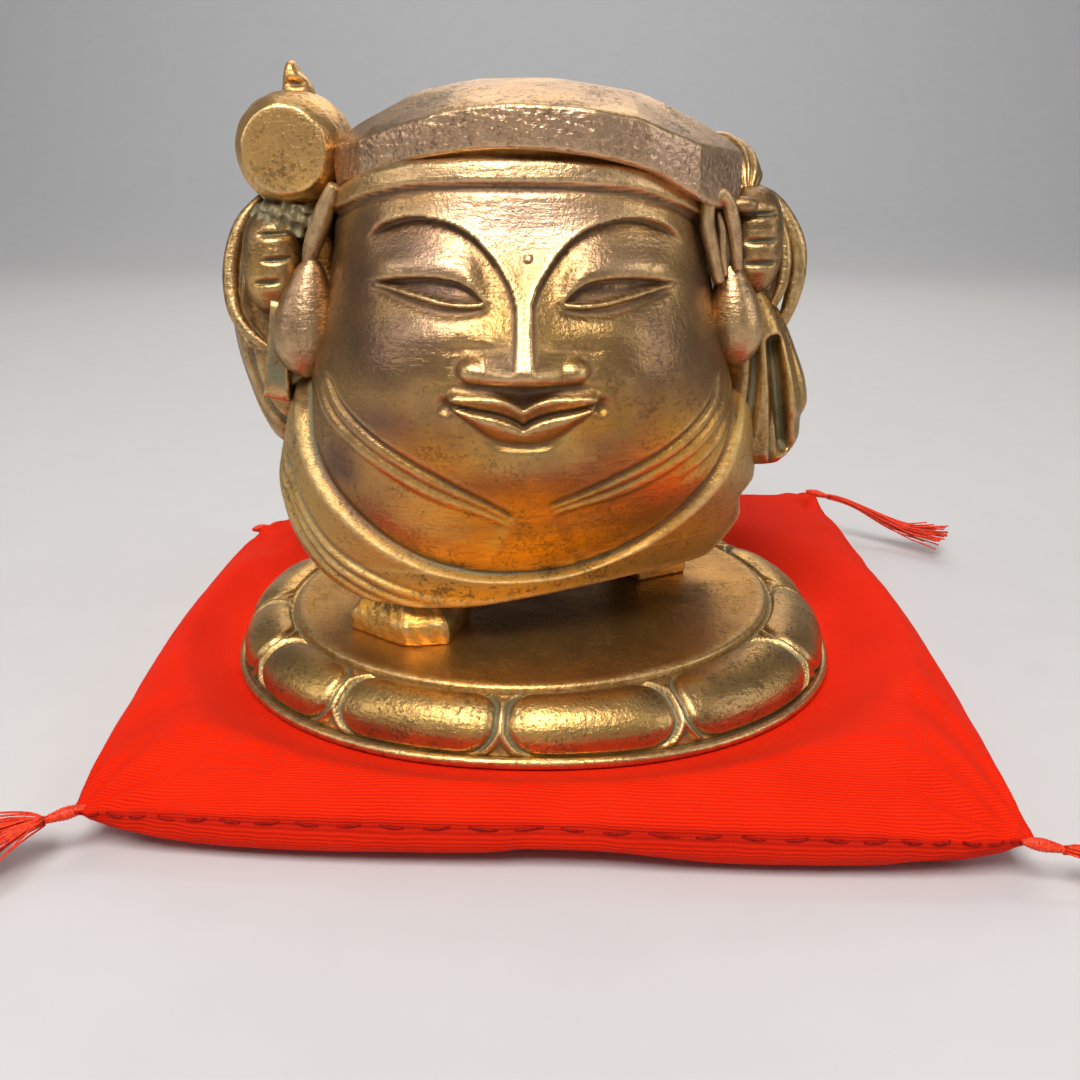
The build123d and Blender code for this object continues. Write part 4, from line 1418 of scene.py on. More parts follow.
@dataclass
class Foot:
    """A boot tip: a cut block with a sloped, pitted top."""

    name: str
    corners: tuple
    node: str
    # share of the outline at each height
    sections: tuple = (
        (0.9, 20.15), (0.985, 20.25), (1.0, 20.8), (1.0, 22.2), (0.99, 23.6), (0.965, 24.2), (0.91, 25.0),
        (0.84, 26.0), (0.76, 27.2), (0.7, 28.8),
    )

    def build(self, material: bpy.types.Material) -> None:
        """Makes the block from rings of its outline, drawn in towards the top.

        Args:
            material: the finish to dress it in.
        """
        ring = np.array([*self.corners, self.corners[0]], float)
        step = np.linspace(0, len(self.corners), 121)[:-1]
        edge = np.column_stack([np.interp(step, np.arange(len(ring)), ring[:, k]) for k in (0, 1)])
        middle = edge.mean(0)
        outline = np.stack([blurred(edge[None, :, k], 2, True)[0] for k in (0, 1)], -1)
        rings = []
        for share, z in self.sections:
            flat = middle + (outline - middle) * share
            bump = 0.12 * np.sin(1.9 * flat[:, 0] + 1.3 * z) * np.sin(1.6 * flat[:, 1])
            rings.append(np.column_stack([flat + bump[:, None], np.full(len(flat), z)]))
        # a little painted shade, as the boot sits under the hem
        made = add_rings(self.name, [np.stack(rings)], [0.15], 4)
        # amber tone, partly a painted reflection of the red cushion
        note(made, "amber_and_reflection", np.full(len(made.data.vertices), 0.6))
        finish_piece(made, Body.FIGURE, "figure_bronze", material, self.node)


# ---- cushion
@dataclass
class Cushion:
    """The square ribbed-cloth cushion: two layers sewn all round and filled, pressed by the base."""

    corners: tuple = ((-71.4, -65.1, 8.0), (76.3, -71.4, 8.0), (80.0, 90.0, 14.0), (-74.0, 66.0, 10.5))
    cells: int = 76
    width: float = 150.0
    crown: float = 15.6
    press: float = 9.85
    fill_limit: float = 4.5
    stitches: int = 28

    def spread(self, u: np.ndarray, v: np.ndarray) -> np.ndarray:
        """A place on the flat cloth: the four corners mixed, with sides bowed out a little.

        Args:
            u: shares across.
            v: shares back.

        Returns:
            Places in millimetres.
        """
        a, b, c, d = (np.array(corner, float) for corner in self.corners)
        u, v = u[..., None], v[..., None]
        flat = a * (1 - u) * (1 - v) + b * u * (1 - v) + c * u * v + d * (1 - u) * v
        bow_x = np.sin(math.pi * v) * (2 * u - 1) * 1.8
        bow_y = np.sin(math.pi * u) * (2 * v - 1) * 2.2
        flat[..., :2] += np.concatenate([bow_x, bow_y], -1)
        return flat

    @staticmethod
    def quads(number: np.ndarray) -> np.ndarray:
        """The four-sided faces between the points numbered in a grid."""
        corners = [number[:-1, :-1], number[:-1, 1:], number[1:, 1:], number[1:, :-1]]
        return np.stack(corners, -1).reshape(-1, 4)

    @staticmethod
    def places_of(mesh: bpy.types.Mesh) -> np.ndarray:
        """The places of a mesh's points, in metres.

        Args:
            mesh: the mesh.

        Returns:
            Points by 3.
        """
        place = np.empty(len(mesh.vertices) * 3, np.float32)
        mesh.vertices.foreach_get("co", place)
        return place.reshape(-1, 3).astype(float)

    def cloth(self) -> tuple[np.ndarray, list, np.ndarray, np.ndarray]:
        """Top and bottom layers that share their rim.

        Away from the rim by d each layer leaves the seam's height as 1 - exp(-d/t), multiplied for
        both directions, and is pushed out over the seam by p (1 - exp(-d/3)) exp(-d/25).

        Returns:
            Points, faces, the cloth coordinates of each point and whether it is on the rim.
        """
        n = self.cells + 1
        share = np.linspace(0, 1, n)
        share = 0.6 * (0.5 - 0.5 * np.cos(math.pi * share)) + 0.4 * share
        v, u = np.meshgrid(share, share, indexing="ij")
        flat = self.spread(u, v)
        du, dv = (np.minimum(k, 1 - k) * self.width for k in (u, v))
        pinch = 1 - 0.45 * swell(np.hypot(du, dv), 20.0)
        top, bottom = flat.copy(), flat.copy()
        for layer, height, reach, push in ((top, self.crown, 7.0, 2.4), (bottom, 0.25, 3.4, 4.4)):
            puff = (1 - np.exp(-du / reach)) * (1 - np.exp(-dv / reach)) * pinch
            layer[..., 2] = flat[..., 2] + (height - flat[..., 2]) * puff
            for axis, near, other, side in ((0, du, dv, u), (1, dv, du, v)):
                out = push * (1 - np.exp(-near / 3.0)) * np.exp(-near / 25.0) * (1 - np.exp(-other / 12.0))
                layer[..., axis] += out * np.where(side > 0.5, 1.0, -1.0)
        rim = np.zeros((n, n), bool)
        rim[0], rim[-1], rim[:, 0], rim[:, -1] = True, True, True, True
        number = np.arange(n * n).reshape(n, n)
        below = number.copy()
        below[~rim] = n * n + np.arange((~rim).sum())
        faces = self.quads(number).tolist() + self.quads(below)[:, ::-1].tolist()
        points = np.concatenate([top.reshape(-1, 3), bottom[~rim]])
        places = np.stack([u, v], -1)
        places = np.concatenate([places.reshape(-1, 2), places[~rim]])
        on_rim = np.concatenate([rim.ravel(), np.zeros((~rim).sum(), bool)])
        return points, faces, places, on_rim

    @staticmethod
    def filled(made: bpy.types.Object, limit: float) -> np.ndarray:
        """Blows the sewn layers up as cloth for twenty frames and caps how far a point may go.

        Args:
            made: the sewn layers.
            limit: the furthest that a point moves, in millimetres.

        Returns:
            The filled places, in millimetres.
        """
        rest = Cushion.places_of(made.data)
        cloth = made.modifiers.new("filling", "CLOTH")
        cloth.settings.quality = 6
        cloth.settings.mass = 0.25
        cloth.settings.tension_stiffness = 12
        cloth.settings.compression_stiffness = 12
        cloth.settings.bending_stiffness = 0.15
        cloth.settings.shrink_min = -0.035
        cloth.settings.use_pressure = True
        cloth.settings.uniform_pressure_force = 4.0
        cloth.settings.effector_weights.gravity = 0.0
        scene = bpy.context.scene
        for frame_number in range(1, 21):
            scene.frame_set(frame_number)
        seen = made.evaluated_get(bpy.context.evaluated_depsgraph_get())
        now = Cushion.places_of(seen.data)
        made.modifiers.remove(cloth)
        scene.frame_set(1)
        move = now - rest
        far = np.linalg.norm(move, axis=1, keepdims=True)
        return (rest + move * np.minimum(1.0, limit * MM / np.maximum(far, 1e-9))) / MM

    def pressed(self, points: np.ndarray, base: LotusBase) -> np.ndarray:
        """Flattens the cloth under the base and on the floor, rising softly round the base.

        Args:
            points: the filled places, in millimetres.
            base: the base that stands on it.

        Returns:
            The pressed places.
        """
        x, y, z = points.T
        angle = np.arctan2(y, x)
        outside = np.hypot(x, y) - base.outer(angle)
        cap = self.press + (self.crown + 0.9 - self.press) * ease(-1.0, 17.0, outside)
        soft = cap - 0.25 * np.log1p(np.exp(np.clip((cap - z) / 0.25, -30, 30)))
        z = np.where(z > 7.0, np.where(cap - z > 4, z, soft), z)
        return np.column_stack([x, y, np.maximum(z, 0.2)])

    def build(
        self, cloth_finish: bpy.types.Material, thread: bpy.types.Material, base: LotusBase
    ) -> np.ndarray:
        """Makes the cushion and its closing stitches.

        Args:
            cloth_finish: the cover's material.
            thread: the stitches' material.
            base: the lotus base that presses into it.

        Returns:
            The four corners as they lie after filling, in millimetres.
        """
        points, faces, places, on_rim = self.cloth()
        made = new_object("filled_cushion", points, faces)
        flat = points.copy()
        points = self.filled(made, self.fill_limit)
        edge = np.abs(places - 0.5).max(1)
        keep = ease(0.40, 0.5, edge)[:, None] * 0.75
        points = points * (1 - keep) + flat * keep
        from_side, from_front = np.minimum(places, 1 - places).T
        near = np.hypot(from_side, from_front)
        spin = np.arctan2(from_front, from_side)
        gather = 0.85 * np.sin(17 * spin + 1.5 * places[:, 0] * 7) * swell(near - 0.07, 0.075) * ~on_rim
        points[:, 2] += gather
        tug = np.sin(math.pi * np.clip(places[:, 0], 0, 1) * self.stitches * 2) * 0.25
        points[:, 2] += tug * swell(edge - 0.49, 0.012) * ~on_rim
        middle = points.mean(0)
        inward = (middle - points) * np.array([1.0, 1.0, 0.0])
        inward /= np.maximum(np.linalg.norm(inward, axis=1, keepdims=True), 1e-6)
        points = points + inward * (on_rim * 0.5)[:, None]
        points = self.pressed(points, base)
        made.data.vertices.foreach_set("co", (points * MM).astype(np.float32).ravel())
        made.data.update()
        note(made, "across", places[:, 0] * self.width)
        note(made, "along", places[:, 1] * self.width)
        note(made, "seam", swell(edge - 0.5, 0.006))
        finer = made.modifiers.new("finer", "SUBSURF")
        finer.levels = finer.render_levels = 1
        soft_nodes = ("cushion_cover_top", "cushion_cover_bottom", "cushion_wadding")
        finish_piece(made, Body.CUSHION, "red_cloth", cloth_finish, *soft_nodes)
        n = self.cells + 1
        self.sew(points[:n], thread)
        return points[[0, n - 1, n * n - 1, n * (n - 1)]]

    def sew(self, seam: np.ndarray, thread: bpy.types.Material) -> None:
        """Hand stitches along the front seam: short tubes that dip in at both ends.

        Args:
            seam: the front seam's places, in millimetres.
            thread: the stitches' material.
        """
        share = np.linspace(0, 1, len(seam))
        chance = np.random.default_rng(11)
        shells = []
        for index in range(self.stitches):
            start = (index + 0.22 + 0.08 * chance.random()) / self.stitches
            stop = (index + 0.80 + 0.12 * chance.random()) / self.stitches
            t = np.linspace(start, stop, 7)
            line = np.column_stack([np.interp(t, share, seam[:, k]) for k in range(3)])
            arch = np.sin(np.linspace(0, math.pi, 7))
            line[:, 1] -= 0.05 + 0.3 * arch
            line[:, 2] += np.linspace(-0.25, 0.25, 7) * (1 if index % 2 else -1)
            shells.append(carried(line, np.full(7, 0.2), 6))
        made = add_rings("closing_seam_stitches", shells, [0.0] * len(shells), 1)
        finish_piece(made, Body.CUSHION, "seam_thread", thread, "closing_stitches")


@dataclass
class Tassel:
    """A small knot with loose threads that run out from a cushion corner."""

    name: str
    root: tuple
    bearing: float
    length: float
    spread: float
    flare: float
    fall: float
    threads: int
    seed: int

    def build(self, thread: bpy.types.Material) -> None:
        """Makes the knot and its threads, each a thin tube along its own wavy line.

        Args:
            thread: the finish of its threads.
        """
        chance = np.random.default_rng(self.seed)
        b = math.radians(self.bearing)
        ahead = np.array([math.cos(b), math.sin(b), 0.0])
        aside = np.array([-math.sin(b), math.cos(b), 0.0])
        root = np.array(self.root)
        t = np.linspace(0, 1, 22)
        share = np.linspace(0, 1, 40)
        knot_line = root + np.outer(np.linspace(-2.5, 3.6, 40), ahead) - np.outer(share**1.5, [0, 0, 0.8])
        turns = 0.1 * np.abs(np.sin(np.linspace(0, 11 * math.pi, 40)))
        bulge = through(((0, 0.3), (0.25, 0.8), (0.5, 0.95), (0.75, 0.75), (1, 0.5)), 1, share)
        knot = add_rings("knot_" + self.name, [carried(knot_line, bulge + turns, 18)], [0.0], 1)
        finish_piece(knot, Body.CUSHION, "tassel_thread", thread, "tassel_binding_" + self.name)
        shells = []
        for _ in range(self.threads):
            side, lift = chance.normal(0, 1, 2)
            reach = self.length * (0.82 + 0.2 * chance.random())
            fan = math.radians(self.spread) * side * 0.5
            bend = chance.normal(0, 0.06)
            run = (np.cos(fan + bend * t)[:, None] * ahead + np.sin(fan + bend * t)[:, None] * aside)
            line = knot_line[-1] + run * (t * reach)[:, None]
            wave = 0.35 * np.sin(t * (5 + 6 * chance.random()) + 6 * chance.random())
            line += np.outer(wave * t**0.5 + side * self.flare * 0.3 * t**4 + 0.42 * side * t**0.3, aside)
            drop = knot_line[-1][2] - self.fall
            line[:, 2] = knot_line[-1][2] - drop * ease(0, 0.85, t) + lift * (0.3 + self.flare * 0.15 * t**3)
            line[:, 2] = np.maximum(line[:, 2], 0.25 + 0.3 * chance.random())
            shells.append(carried(line, np.full(22, 0.2), 4))
        skein = add_rings("skein_" + self.name, shells, [0.0] * len(shells), 1)
        finish_piece(skein, Body.CUSHION, "tassel_thread", thread, "tassel_skein_" + self.name)


# ---- finishes
class Nodes:
    """Short ways to add and join shader nodes in one tree."""

    def __init__(self, tree: bpy.types.NodeTree) -> None:
        """Keeps the tree."""
        self.tree = tree

    def add(self, kind: str, **settings: object) -> bpy.types.Node:
        """Adds a node and sets its properties.

        Args:
            kind: the node's type.
            settings: its properties.

        Returns:
            The node.
        """
        node = self.tree.nodes.new(kind)
        for key, value in settings.items():
            setattr(node, key, value)
        return node

    def join(self, source: object, socket: bpy.types.NodeSocket) -> None:
        """Joins an output to an input, or sets the input's own value.

        Args:
            source: an output, or a plain value.
            socket: the input.
        """
        if isinstance(source, bpy.types.NodeSocket):
            self.tree.links.new(source, socket)
        else:
            socket.default_value = source

    def sum(self, operation: str, a: object, b: object = 0.0, c: object = 0.0) -> bpy.types.NodeSocket:
        """A math node.

        Args:
            operation: the math node's operation.
            a: first input.
            b: second input.
            c: third input.

        Returns:
            Its output.
        """
        node = self.add("ShaderNodeMath", operation=operation)
        for value, socket in zip((a, b, c), node.inputs):
            self.join(value, socket)
        return node.outputs[0]

    def steps(
        self, value: object, low: float, high: float, to_low: float = 0.0, to_high: float = 1.0
    ) -> bpy.types.NodeSocket:
        """A clamped smooth map of one range onto another.

        Args:
            value: what to map.
            low: where the first range starts.
            high: where the first range ends.
            to_low: result at low.
            to_high: result at high.

        Returns:
            Its output.
        """
        node = self.add("ShaderNodeMapRange", interpolation_type="SMOOTHSTEP")
        ends = {"From Min": low, "From Max": high, "To Min": to_low, "To Max": to_high}
        self.join(value, node.inputs["Value"])
        for key, end in ends.items():
            self.join(end, node.inputs[key])
        return node.outputs["Result"]

    def mix(self, share: object, a: object, b: object, blend: str = "MIX") -> bpy.types.NodeSocket:
        """A colour mix.

        Args:
            share: share of the second colour.
            a: first colour.
            b: second colour.
            blend: how they blend.

        Returns:
            Its output.
        """
        node = self.add("ShaderNodeMix", data_type="RGBA", blend_type=blend)
        self.join(share, node.inputs[0])
        self.join(a, node.inputs[6])
        self.join(b, node.inputs[7])
        return node.outputs[2]

    def noise(
        self, place: object, scale: float, detail: float = 3.0, rough: float = 0.55
    ) -> bpy.types.NodeSocket:
        """A noise value about 0.5.

        Args:
            place: where to read it.
            scale: its fineness.
            detail: its octaves.
            rough: how strong its fine octaves are.

        Returns:
            Its output.
        """
        node = self.add("ShaderNodeTexNoise")
        self.join(place, node.inputs["Vector"])
        self.join(scale, node.inputs["Scale"])
        self.join(detail, node.inputs["Detail"])
        self.join(rough, node.inputs["Roughness"])
        return node.outputs["Fac"]

    def mark(self, name: str) -> bpy.types.NodeSocket:
        """A number stored on the mesh."""
        return self.add("ShaderNodeAttribute", attribute_name=name).outputs["Fac"]

    def stretched(self, place: object, scale: tuple) -> bpy.types.NodeSocket:
        """Places scaled by axis.

        Args:
            place: the places.
            scale: factors along x, y and z.

        Returns:
            Its output.
        """
        node = self.add("ShaderNodeMapping")
        self.join(place, node.inputs["Vector"])
        node.inputs["Scale"].default_value = scale
        return node.outputs["Vector"]

    def bump(
        self, height: object, distance: float, strength: float = 1.0, normal: object = None
    ) -> bpy.types.NodeSocket:
        """A bump node.

        Args:
            height: the relief.
            distance: its depth in metres.
            strength: its share.
            normal: a normal to start from.

        Returns:
            Its output.
        """
        node = self.add("ShaderNodeBump")
        node.inputs["Distance"].default_value = distance
        node.inputs["Strength"].default_value = strength
        self.join(height, node.inputs["Height"])
        if normal is not None:
            self.join(normal, node.inputs["Normal"])
        return node.outputs["Normal"]


def new_material(
    name: str,
) -> tuple[bpy.types.Material, Nodes, bpy.types.Node, bpy.types.NodeSocket]:
    """A material with nothing in it but its shader and Object coordinates.

    Args:
        name: what to call it.

    Returns:
        The material, its nodes, its shader and the coordinates.
    """
    material = bpy.data.materials.new(name)
    material.use_nodes = True
    kit = Nodes(material.node_tree)
    shader = material.node_tree.nodes["Principled BSDF"]
    return material, kit, shader, kit.add("ShaderNodeTexCoord").outputs["Object"]


def cast_surface() -> bpy.types.NodeTree:
    """The shared look of worn cast metal, read from a place.

    Returns:
        A node group with Place in, and Blotch, Patch, Speck, Brush and Height out, each about 0..1.
    """
    tree = bpy.data.node_groups.new("cast surface", "ShaderNodeTree")
    tree.interface.new_socket("Place", in_out="INPUT", socket_type="NodeSocketVector")
    for name in ("Blotch", "Patch", "Speck", "Brush", "Height"):
        tree.interface.new_socket(name, in_out="OUTPUT", socket_type="NodeSocketFloat")
    kit = Nodes(tree)
    place = kit.add("NodeGroupInput").outputs["Place"]
    out = kit.add("NodeGroupOutput")
    blotch = kit.steps(kit.noise(place, 55.0, 4.0, 0.6), 0.34, 0.66)
    patch = kit.steps(kit.noise(place, 26.0, 3.0, 0.6), 0.48, 0.66)
    fine = kit.noise(place, 1500.0, 3.0, 0.65)
    clumps = kit.noise(place, 170.0, 4.0, 0.7)
    speck = kit.steps(kit.sum("ADD", fine, kit.sum("MULTIPLY", clumps, 0.85)), 0.92, 1.16)
    brush = kit.noise(kit.stretched(place, (260.0, 260.0, 1500.0)), 1.0, 3.0, 0.6)
    grain = kit.noise(place, 700.0, 4.0, 0.7)
    height = kit.sum("ADD", kit.sum("MULTIPLY", grain, 0.6), kit.sum("MULTIPLY", fine, 0.4))
    found = {"Blotch": blotch, "Patch": patch, "Speck": speck, "Brush": brush, "Height": height}
    for name, value in found.items():
        kit.join(value, out.inputs[name])
    return tree


@dataclass(frozen=True)
class BronzeFinish:
    """Worn gilded bronze: gold and brown metal, a lilac tone mostly laid as painted shade, a rose tone partly
    laid as painted highlight, an amber tone partly painting the red cushion's reflection, dark grain,
    green-grey hollows, painted shade in the face's creases and tucked parts, bright edges.
    """

    name: str
    gold: tuple = (0.53, 0.315, 0.10, 1)
    brown: tuple = (0.25, 0.145, 0.06, 1)
    # purple-brown tone, mostly laid as painted shade on the face
    lilac_and_shade: tuple = (0.14, 0.080, 0.070, 1)
    # pale rose tone, laid as a painted highlight on the face
    rose_and_highlight: tuple = (0.64, 0.43, 0.31, 1)
    # orange tone, partly a painted reflection of the red cushion
    amber_and_reflection: tuple = (0.95, 0.42, 0.012, 1)
    dark: tuple = (0.05, 0.030, 0.018, 1)
    verdigris: tuple = (0.15, 0.155, 0.095, 1)
    # dark brown laid in the face's creases as painted shade
    crease_shade: tuple = (0.10, 0.050, 0.032, 1)
    edge: tuple = (0.80, 0.56, 0.27, 1)
    pale: tuple = (0.40, 0.255, 0.065, 1)
    roughness: float = 0.37
    specks: float = 0.7
    verdigris_amount: float = 0.8

    def make(self, surface: bpy.types.NodeTree) -> bpy.types.Material:
        """Builds the material on the shared cast surface.

        Args:
            surface: the shared cast surface group.

        Returns:
            The material.
        """
        material, kit, shader, place = new_material(self.name)
        group = kit.add("ShaderNodeGroup", node_tree=surface)
        kit.join(place, group.inputs["Place"])
        hollow, proud = kit.mark("hollow"), kit.mark("proud")
        lilac_and_shade, pale, hammer = kit.mark("lilac_and_shade"), kit.mark("pale"), kit.mark("hammer")
        bare = kit.mark("bare")
        colour = kit.mix(group.outputs["Blotch"], self.brown, self.gold)
        # lilac tone: the random patches are the metal's own tone; the lilac marks are mostly painted shade
        tone = kit.sum("MAXIMUM", kit.sum("MULTIPLY", group.outputs["Patch"], 0.35), lilac_and_shade)
        colour = kit.mix(kit.sum("MULTIPLY", tone, 0.85), colour, self.lilac_and_shade)
        colour = kit.mix(kit.sum("MULTIPLY", pale, 0.75), colour, self.pale)
        # rose tone: on the face a painted highlight, on the brim and ears a paler metal tone
        rose_grain = kit.steps(group.outputs["Height"], 0.3, 0.55, 0.45, 0.85)
        colour = kit.mix(kit.sum("MULTIPLY", kit.mark("rose_and_highlight"), rose_grain), colour, self.rose_and_highlight)
        # amber tone, partly a painted reflection of the red cushion on lower parts
        glow = kit.steps(group.outputs["Brush"], 0.3, 0.6, 0.6, 0.95)
        colour = kit.mix(kit.sum("MULTIPLY", kit.mark("amber_and_reflection"), glow), colour, self.amber_and_reflection)
        speck_share = kit.steps(bare, 0.0, 1.0, self.specks, self.specks * 0.6)
        speck = kit.sum("MULTIPLY", group.outputs["Speck"], speck_share)
        colour = kit.mix(speck, colour, self.dark)
        worn = kit.sum("MULTIPLY", proud, kit.steps(group.outputs["Height"], 0.35, 0.6))
        colour = kit.mix(kit.sum("MULTIPLY", worn, 0.6), colour, self.edge)
        # darkening in hollows: the green-grey patina that the metal has in its hollows, plus the painted
        # shade added to tucked parts and grooves
        uneven = kit.sum("MULTIPLY", group.outputs["Height"], 0.5)
        patina_and_shade = kit.steps(kit.sum("ADD", hollow, uneven), 0.35, 1.05)
        amount = kit.steps(bare, 0.0, 1.0, self.verdigris_amount, self.verdigris_amount * 0.8)
        patina_and_shade = kit.sum("MULTIPLY", patina_and_shade, amount)
        # on the ungreened face the hollows turn dark brown instead of green-grey: painted shade in the
        # creases
        colour = kit.mix(patina_and_shade, colour, kit.mix(bare, self.verdigris, self.crease_shade))
        kit.join(colour, shader.inputs["Base Color"])
        dull = kit.sum("ADD", kit.sum("MULTIPLY", patina_and_shade, 0.6), kit.sum("MULTIPLY", pale, 0.35))
        kit.join(kit.sum("SUBTRACT", 0.97, dull), shader.inputs["Metallic"])
        rough = kit.sum("ADD", self.roughness, kit.sum("MULTIPLY", group.outputs["Speck"], 0.16))
        rough = kit.sum("ADD", rough, kit.sum("MULTIPLY", patina_and_shade, 0.3))
        rough = kit.sum("ADD", rough, kit.sum("MULTIPLY", pale, 0.16))
        rough = kit.sum("ADD", rough, kit.sum("MULTIPLY", group.outputs["Blotch"], -0.05))
        kit.join(rough, shader.inputs["Roughness"])
        cells = kit.add("ShaderNodeTexVoronoi", feature="SMOOTH_F1")
        kit.join(place, cells.inputs["Vector"])
        cells.inputs["Scale"].default_value = 1150.0
        dents = kit.sum("MULTIPLY", cells.outputs["Distance"], hammer)
        normal = kit.bump(dents, 0.0003, 0.55)
        normal = kit.bump(group.outputs["Height"], 0.00035, 0.6, normal)
        normal = kit.bump(group.outputs["Brush"], 0.00022, 0.4, normal)
        kit.join(normal, shader.inputs["Normal"])
        return material


@dataclass(frozen=True)
class ClothFinish:
    """Vermilion ribbed cloth: fine ribs across the cushion, with painted shade in the rib valleys and a soft
    sheen.
    """

    light: tuple = (0.80, 0.020, 0.0015, 1)
    dark: tuple = (0.54, 0.009, 0.001, 1)

    def make(self) -> bpy.types.Material:
        """Builds the material from the cloth's own coordinates.

        Returns:
            The material.
        """
        material, kit, shader, place = new_material("red_ribbed_cloth")
        across, along, seam = kit.mark("across"), kit.mark("along"), kit.mark("seam")
        sway = kit.sum("MULTIPLY", kit.noise(place, 40.0), 0.8)
        rib = kit.sum("SINE", kit.sum("MULTIPLY", kit.sum("ADD", along, sway), FULL_TURN / 0.50))
        rib = kit.sum("MULTIPLY_ADD", rib, 0.5, 0.5)
        slub = kit.sum("SINE", kit.sum("MULTIPLY", across, FULL_TURN / 0.36))
        slub = kit.sum("MULTIPLY_ADD", slub, 0.5, 0.5)
        fuzz = kit.noise(place, 900.0, 4.0, 0.7)
        height = kit.sum("ADD", kit.sum("MULTIPLY", rib, 0.75), kit.sum("MULTIPLY", slub, 0.12))
        height = kit.sum("ADD", height, kit.sum("MULTIPLY", fuzz, 0.3))
        worn = kit.sum("MULTIPLY", kit.noise(place, 60.0, 4.0), 0.55)
        # colour lighter on the rib tops and darker in the rib valleys: painted shade; the noise is the
        # cloth's own uneven tone
        tone = kit.sum("ADD", kit.sum("MULTIPLY", rib, 0.55), worn)
        colour = kit.mix(kit.steps(tone, 0.1, 0.9), self.dark, self.light)
        colour = kit.mix(kit.sum("MULTIPLY", seam, 0.6), colour, (0.30, 0.008, 0.004, 1))
        kit.join(colour, shader.inputs["Base Color"])
        shader.inputs["Roughness"].default_value = 0.72
        shader.inputs["Sheen Weight"].default_value = 0.02
        shader.inputs["Sheen Roughness"].default_value = 0.5
        shader.inputs["Sheen Tint"].default_value = (1.0, 0.35, 0.22, 1)
        shader.inputs["Specular IOR Level"].default_value = 0.06
        kit.join(kit.bump(height, 0.00016, 0.7), shader.inputs["Normal"])
        return material


@dataclass(frozen=True)
class ThreadFinish:
    """Twisted thread with a silky gleam."""

    name: str
    light: tuple = (0.84, 0.050, 0.006, 1)
    dark: tuple = (0.50, 0.016, 0.003, 1)
    sheen: float = 0.06
    specular: float = 0.3

    def make(self) -> bpy.types.Material:
        """Builds the material: a fine twist along the thread.

        Returns:
            The material.
        """
        material, kit, shader, place = new_material(self.name)
        twist = kit.noise(kit.stretched(place, (1.0, 1.0, 2.0)), 1400.0, 2.0)
        colour = kit.mix(kit.steps(twist, 0.35, 0.65), self.dark, self.light)
        kit.join(colour, shader.inputs["Base Color"])
        kit.join(kit.steps(twist, 0.3, 0.7, 0.38, 0.55), shader.inputs["Roughness"])
        shader.inputs["Sheen Weight"].default_value = self.sheen
        shader.inputs["Specular IOR Level"].default_value = self.specular
        kit.join(kit.bump(twist, 0.0001, 0.5), shader.inputs["Normal"])
        return material


@dataclass(frozen=True)
class PlainMetal:
    """Turned screw steel or pin brass: fine turning marks and faint tarnish."""

    name: str
    light: tuple
    dark: tuple

    def make(self) -> bpy.types.Material:
        """Builds the material.

        Returns:
            The material.
        """
        material, kit, shader, place = new_material(self.name)
        tarnish = kit.noise(place, 300.0, 4.0)
        marks = kit.noise(kit.stretched(place, (150.0, 150.0, 4000.0)), 1.0)
        kit.join(kit.mix(kit.steps(tarnish, 0.35, 0.7), self.light, self.dark), shader.inputs["Base Color"])
        kit.join(kit.steps(tarnish, 0.3, 0.7, 0.25, 0.45), shader.inputs["Roughness"])
        shader.inputs["Metallic"].default_value = 1.0
        kit.join(kit.bump(marks, 0.00005, 0.4), shader.inputs["Normal"])
        return material


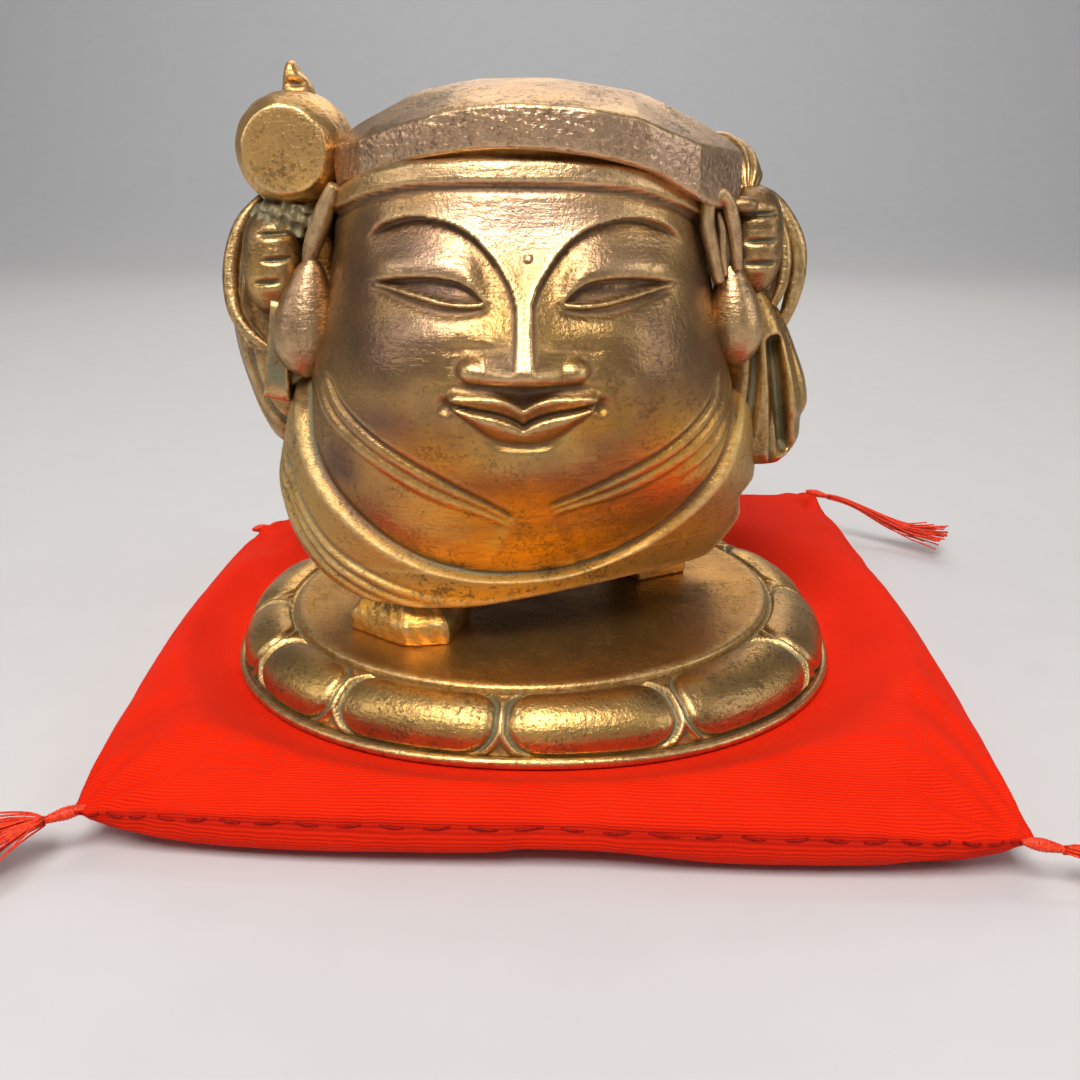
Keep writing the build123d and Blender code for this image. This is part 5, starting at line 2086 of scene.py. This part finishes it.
# ---- studio
@dataclass(frozen=True)
class Studio:
    """A plain pale floor with soft light, and the camera."""

    camera_place: tuple = (1.1, -208.2, 103.0)
    pitch: float = 19.3
    roll: float = 0.4
    lens: float = 36.07

    def floor(self) -> None:
        """A pale floor with a hardly visible grain."""
        turn = np.linspace(0, math.pi / 2, 24)
        depth = np.concatenate([[-1500.0], 900 + 700 * np.sin(turn), [1600.0]])
        height = np.concatenate([[0.0], 700 - 700 * np.cos(turn), [2400.0]])
        across = np.array([-2600.0, 2600.0])
        grid = np.broadcast_arrays(across[None], depth[:, None], height[:, None])
        points = np.stack(grid, -1).reshape(-1, 3)
        floor = new_object("studio_floor", points, grid_faces(len(depth), 2, False).tolist())
        material, kit, shader, place = new_material("pale_floor")
        grain = kit.noise(place, 60.0)
        kit.join(kit.mix(grain, (0.52, 0.52, 0.53, 1), (0.56, 0.56, 0.57, 1)), shader.inputs["Base Color"])
        shader.inputs["Roughness"].default_value = 0.75
        floor.data.materials.append(material)

    def light(self, name: str, place: tuple, aim: tuple, size: float, power: float, colour: tuple) -> None:
        """A square soft light in metres and watts.

        Args:
            name: the lamp's name.
            place: where it hangs.
            aim: what it points at.
            size: its side.
            power: its power.
            colour: its colour.
        """
        data = bpy.data.lights.new(name, "AREA")
        data.shape, data.size, data.energy, data.color = "SQUARE", size, power, colour
        lamp = bpy.data.objects.new(name, data)
        lamp.location = place
        lamp.rotation_euler = (Vector(aim) - Vector(place)).to_track_quat("-Z", "Y").to_euler()
        bpy.context.scene.collection.objects.link(lamp)

    def build(self) -> None:
        """Makes the floor, lights, world and camera."""
        self.floor()
        self.light("front_top", (-0.10, -0.50, 0.72), (0, 0, 0.06), 0.36, 8.0, (1.0, 0.96, 0.92))
        self.light("back_top", (0.05, 0.70, 0.62), (0, 0, 0.08), 0.55, 1.8, (1.0, 0.87, 0.72))
        self.light("left_side", (-0.75, -0.30, 0.45), (0, 0, 0.07), 0.35, 1.1, (1.0, 0.97, 0.95))
        self.light("right_side", (0.80, -0.25, 0.40), (0, 0, 0.07), 0.45, 1.6, (0.95, 0.97, 1.0))
        self.light("backdrop", (0.0, 0.55, 1.3), (0, 1.6, 0.5), 0.8, 8.0, (1.0, 1.0, 1.0))
        world = bpy.data.worlds.new("soft_room")
        world.use_nodes = True
        world.node_tree.nodes["Background"].inputs["Color"].default_value = (0.92, 0.91, 0.90, 1)
        world.node_tree.nodes["Background"].inputs["Strength"].default_value = 0.22
        bpy.context.scene.world = world
        bpy.context.scene.view_settings.view_transform = "Standard"
        data = bpy.data.cameras.new("camera")
        data.sensor_width, data.lens = 36.0, self.lens
        data.clip_start = 0.01
        camera = bpy.data.objects.new("camera", data)
        camera.location = Vector(self.camera_place) * MM
        tilt = Matrix.Rotation(math.radians(90 - self.pitch), 3, "X")
        camera.rotation_euler = (tilt @ Matrix.Rotation(math.radians(self.roll), 3, "Z")).to_euler()
        bpy.context.scene.collection.objects.link(camera)
        bpy.context.scene.camera = camera


def main() -> None:
    """Builds the doll piece by piece, dresses the CAD pieces that stay, and sets the studio."""
    logging.basicConfig(level=logging.INFO, format="%(message)s")
    surface = cast_surface()
    bronze = BronzeFinish("gilded_bronze").make(surface)
    base_bronze = BronzeFinish(
        "base_bronze", gold=(0.72, 0.44, 0.13, 1), brown=(0.38, 0.235, 0.09, 1), verdigris_amount=0.85
    ).make(surface)
    deck_bronze = BronzeFinish(
        "deck_bronze", gold=(0.58, 0.31, 0.07, 1), brown=(0.38, 0.20, 0.05, 1), roughness=0.44, specks=0.3
    ).make(surface)
    mallet_bronze = BronzeFinish(
        "mallet_bronze", gold=(0.88, 0.52, 0.17, 1), brown=(0.64, 0.37, 0.12, 1)
    ).make(surface)
    cloth = ClothFinish().make()
    thread = ThreadFinish("tassel_thread").make()
    seam = ThreadFinish("seam_thread", light=(0.36, 0.006, 0.003, 1), dark=(0.18, 0.003, 0.002, 1),
                        sheen=0.0, specular=0.08).make()
    BodyCasting().build(bronze)
    Hood().build(bronze)
    Ears().build(bronze)
    FigureRightArm().build(bronze)
    FigureLeftArm().build(bronze)
    Mallet().build(mallet_bronze)
    Sack().build(bronze)
    base = LotusBase()
    base.build(base_bronze, deck_bronze)
    right_plan = ((-34.4, -22.4), (-23.1, -30.8), (-15.2, -29.6), (-11.8, -15), (-27.5, -8.5))
    Foot("right_boot", right_plan, "foot_right").build(bronze)
    left_plan = ((21.4, 2.1), (32.2, 8.2), (27, 19.5), (15.5, 14.5))
    Foot("left_boot", left_plan, "foot_left").build(bronze)
    corners = Cushion().build(cloth, seam, base)
    front_left, front_right, back_right, back_left = (tuple(corner) for corner in corners)
    Tassel("front_left", front_left, 203, 31, 34, 1.6, 1.0, 64, 3).build(thread)
    Tassel("front_right", front_right, -6, 36, 10, 2.0, 1.0, 64, 5).build(thread)
    Tassel("back_right", back_right, -23, 33, 3, 6.0, 6.0, 64, 7).build(thread)
    Tassel("back_left", back_left, 52, 33, 8, 3.0, 4.0, 64, 9).build(thread)
    log.info("cushion corners %s", corners.round(1).tolist())
    steel = PlainMetal("screw_steel", (0.60, 0.60, 0.62, 1), (0.33, 0.32, 0.31, 1)).make()
    for name in ("foot_screws", "foot_washers"):
        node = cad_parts[name]
        node.data.materials.clear()
        node.data.materials.append(steel)
    Studio().build()


if __name__ == "__main__":
    main()
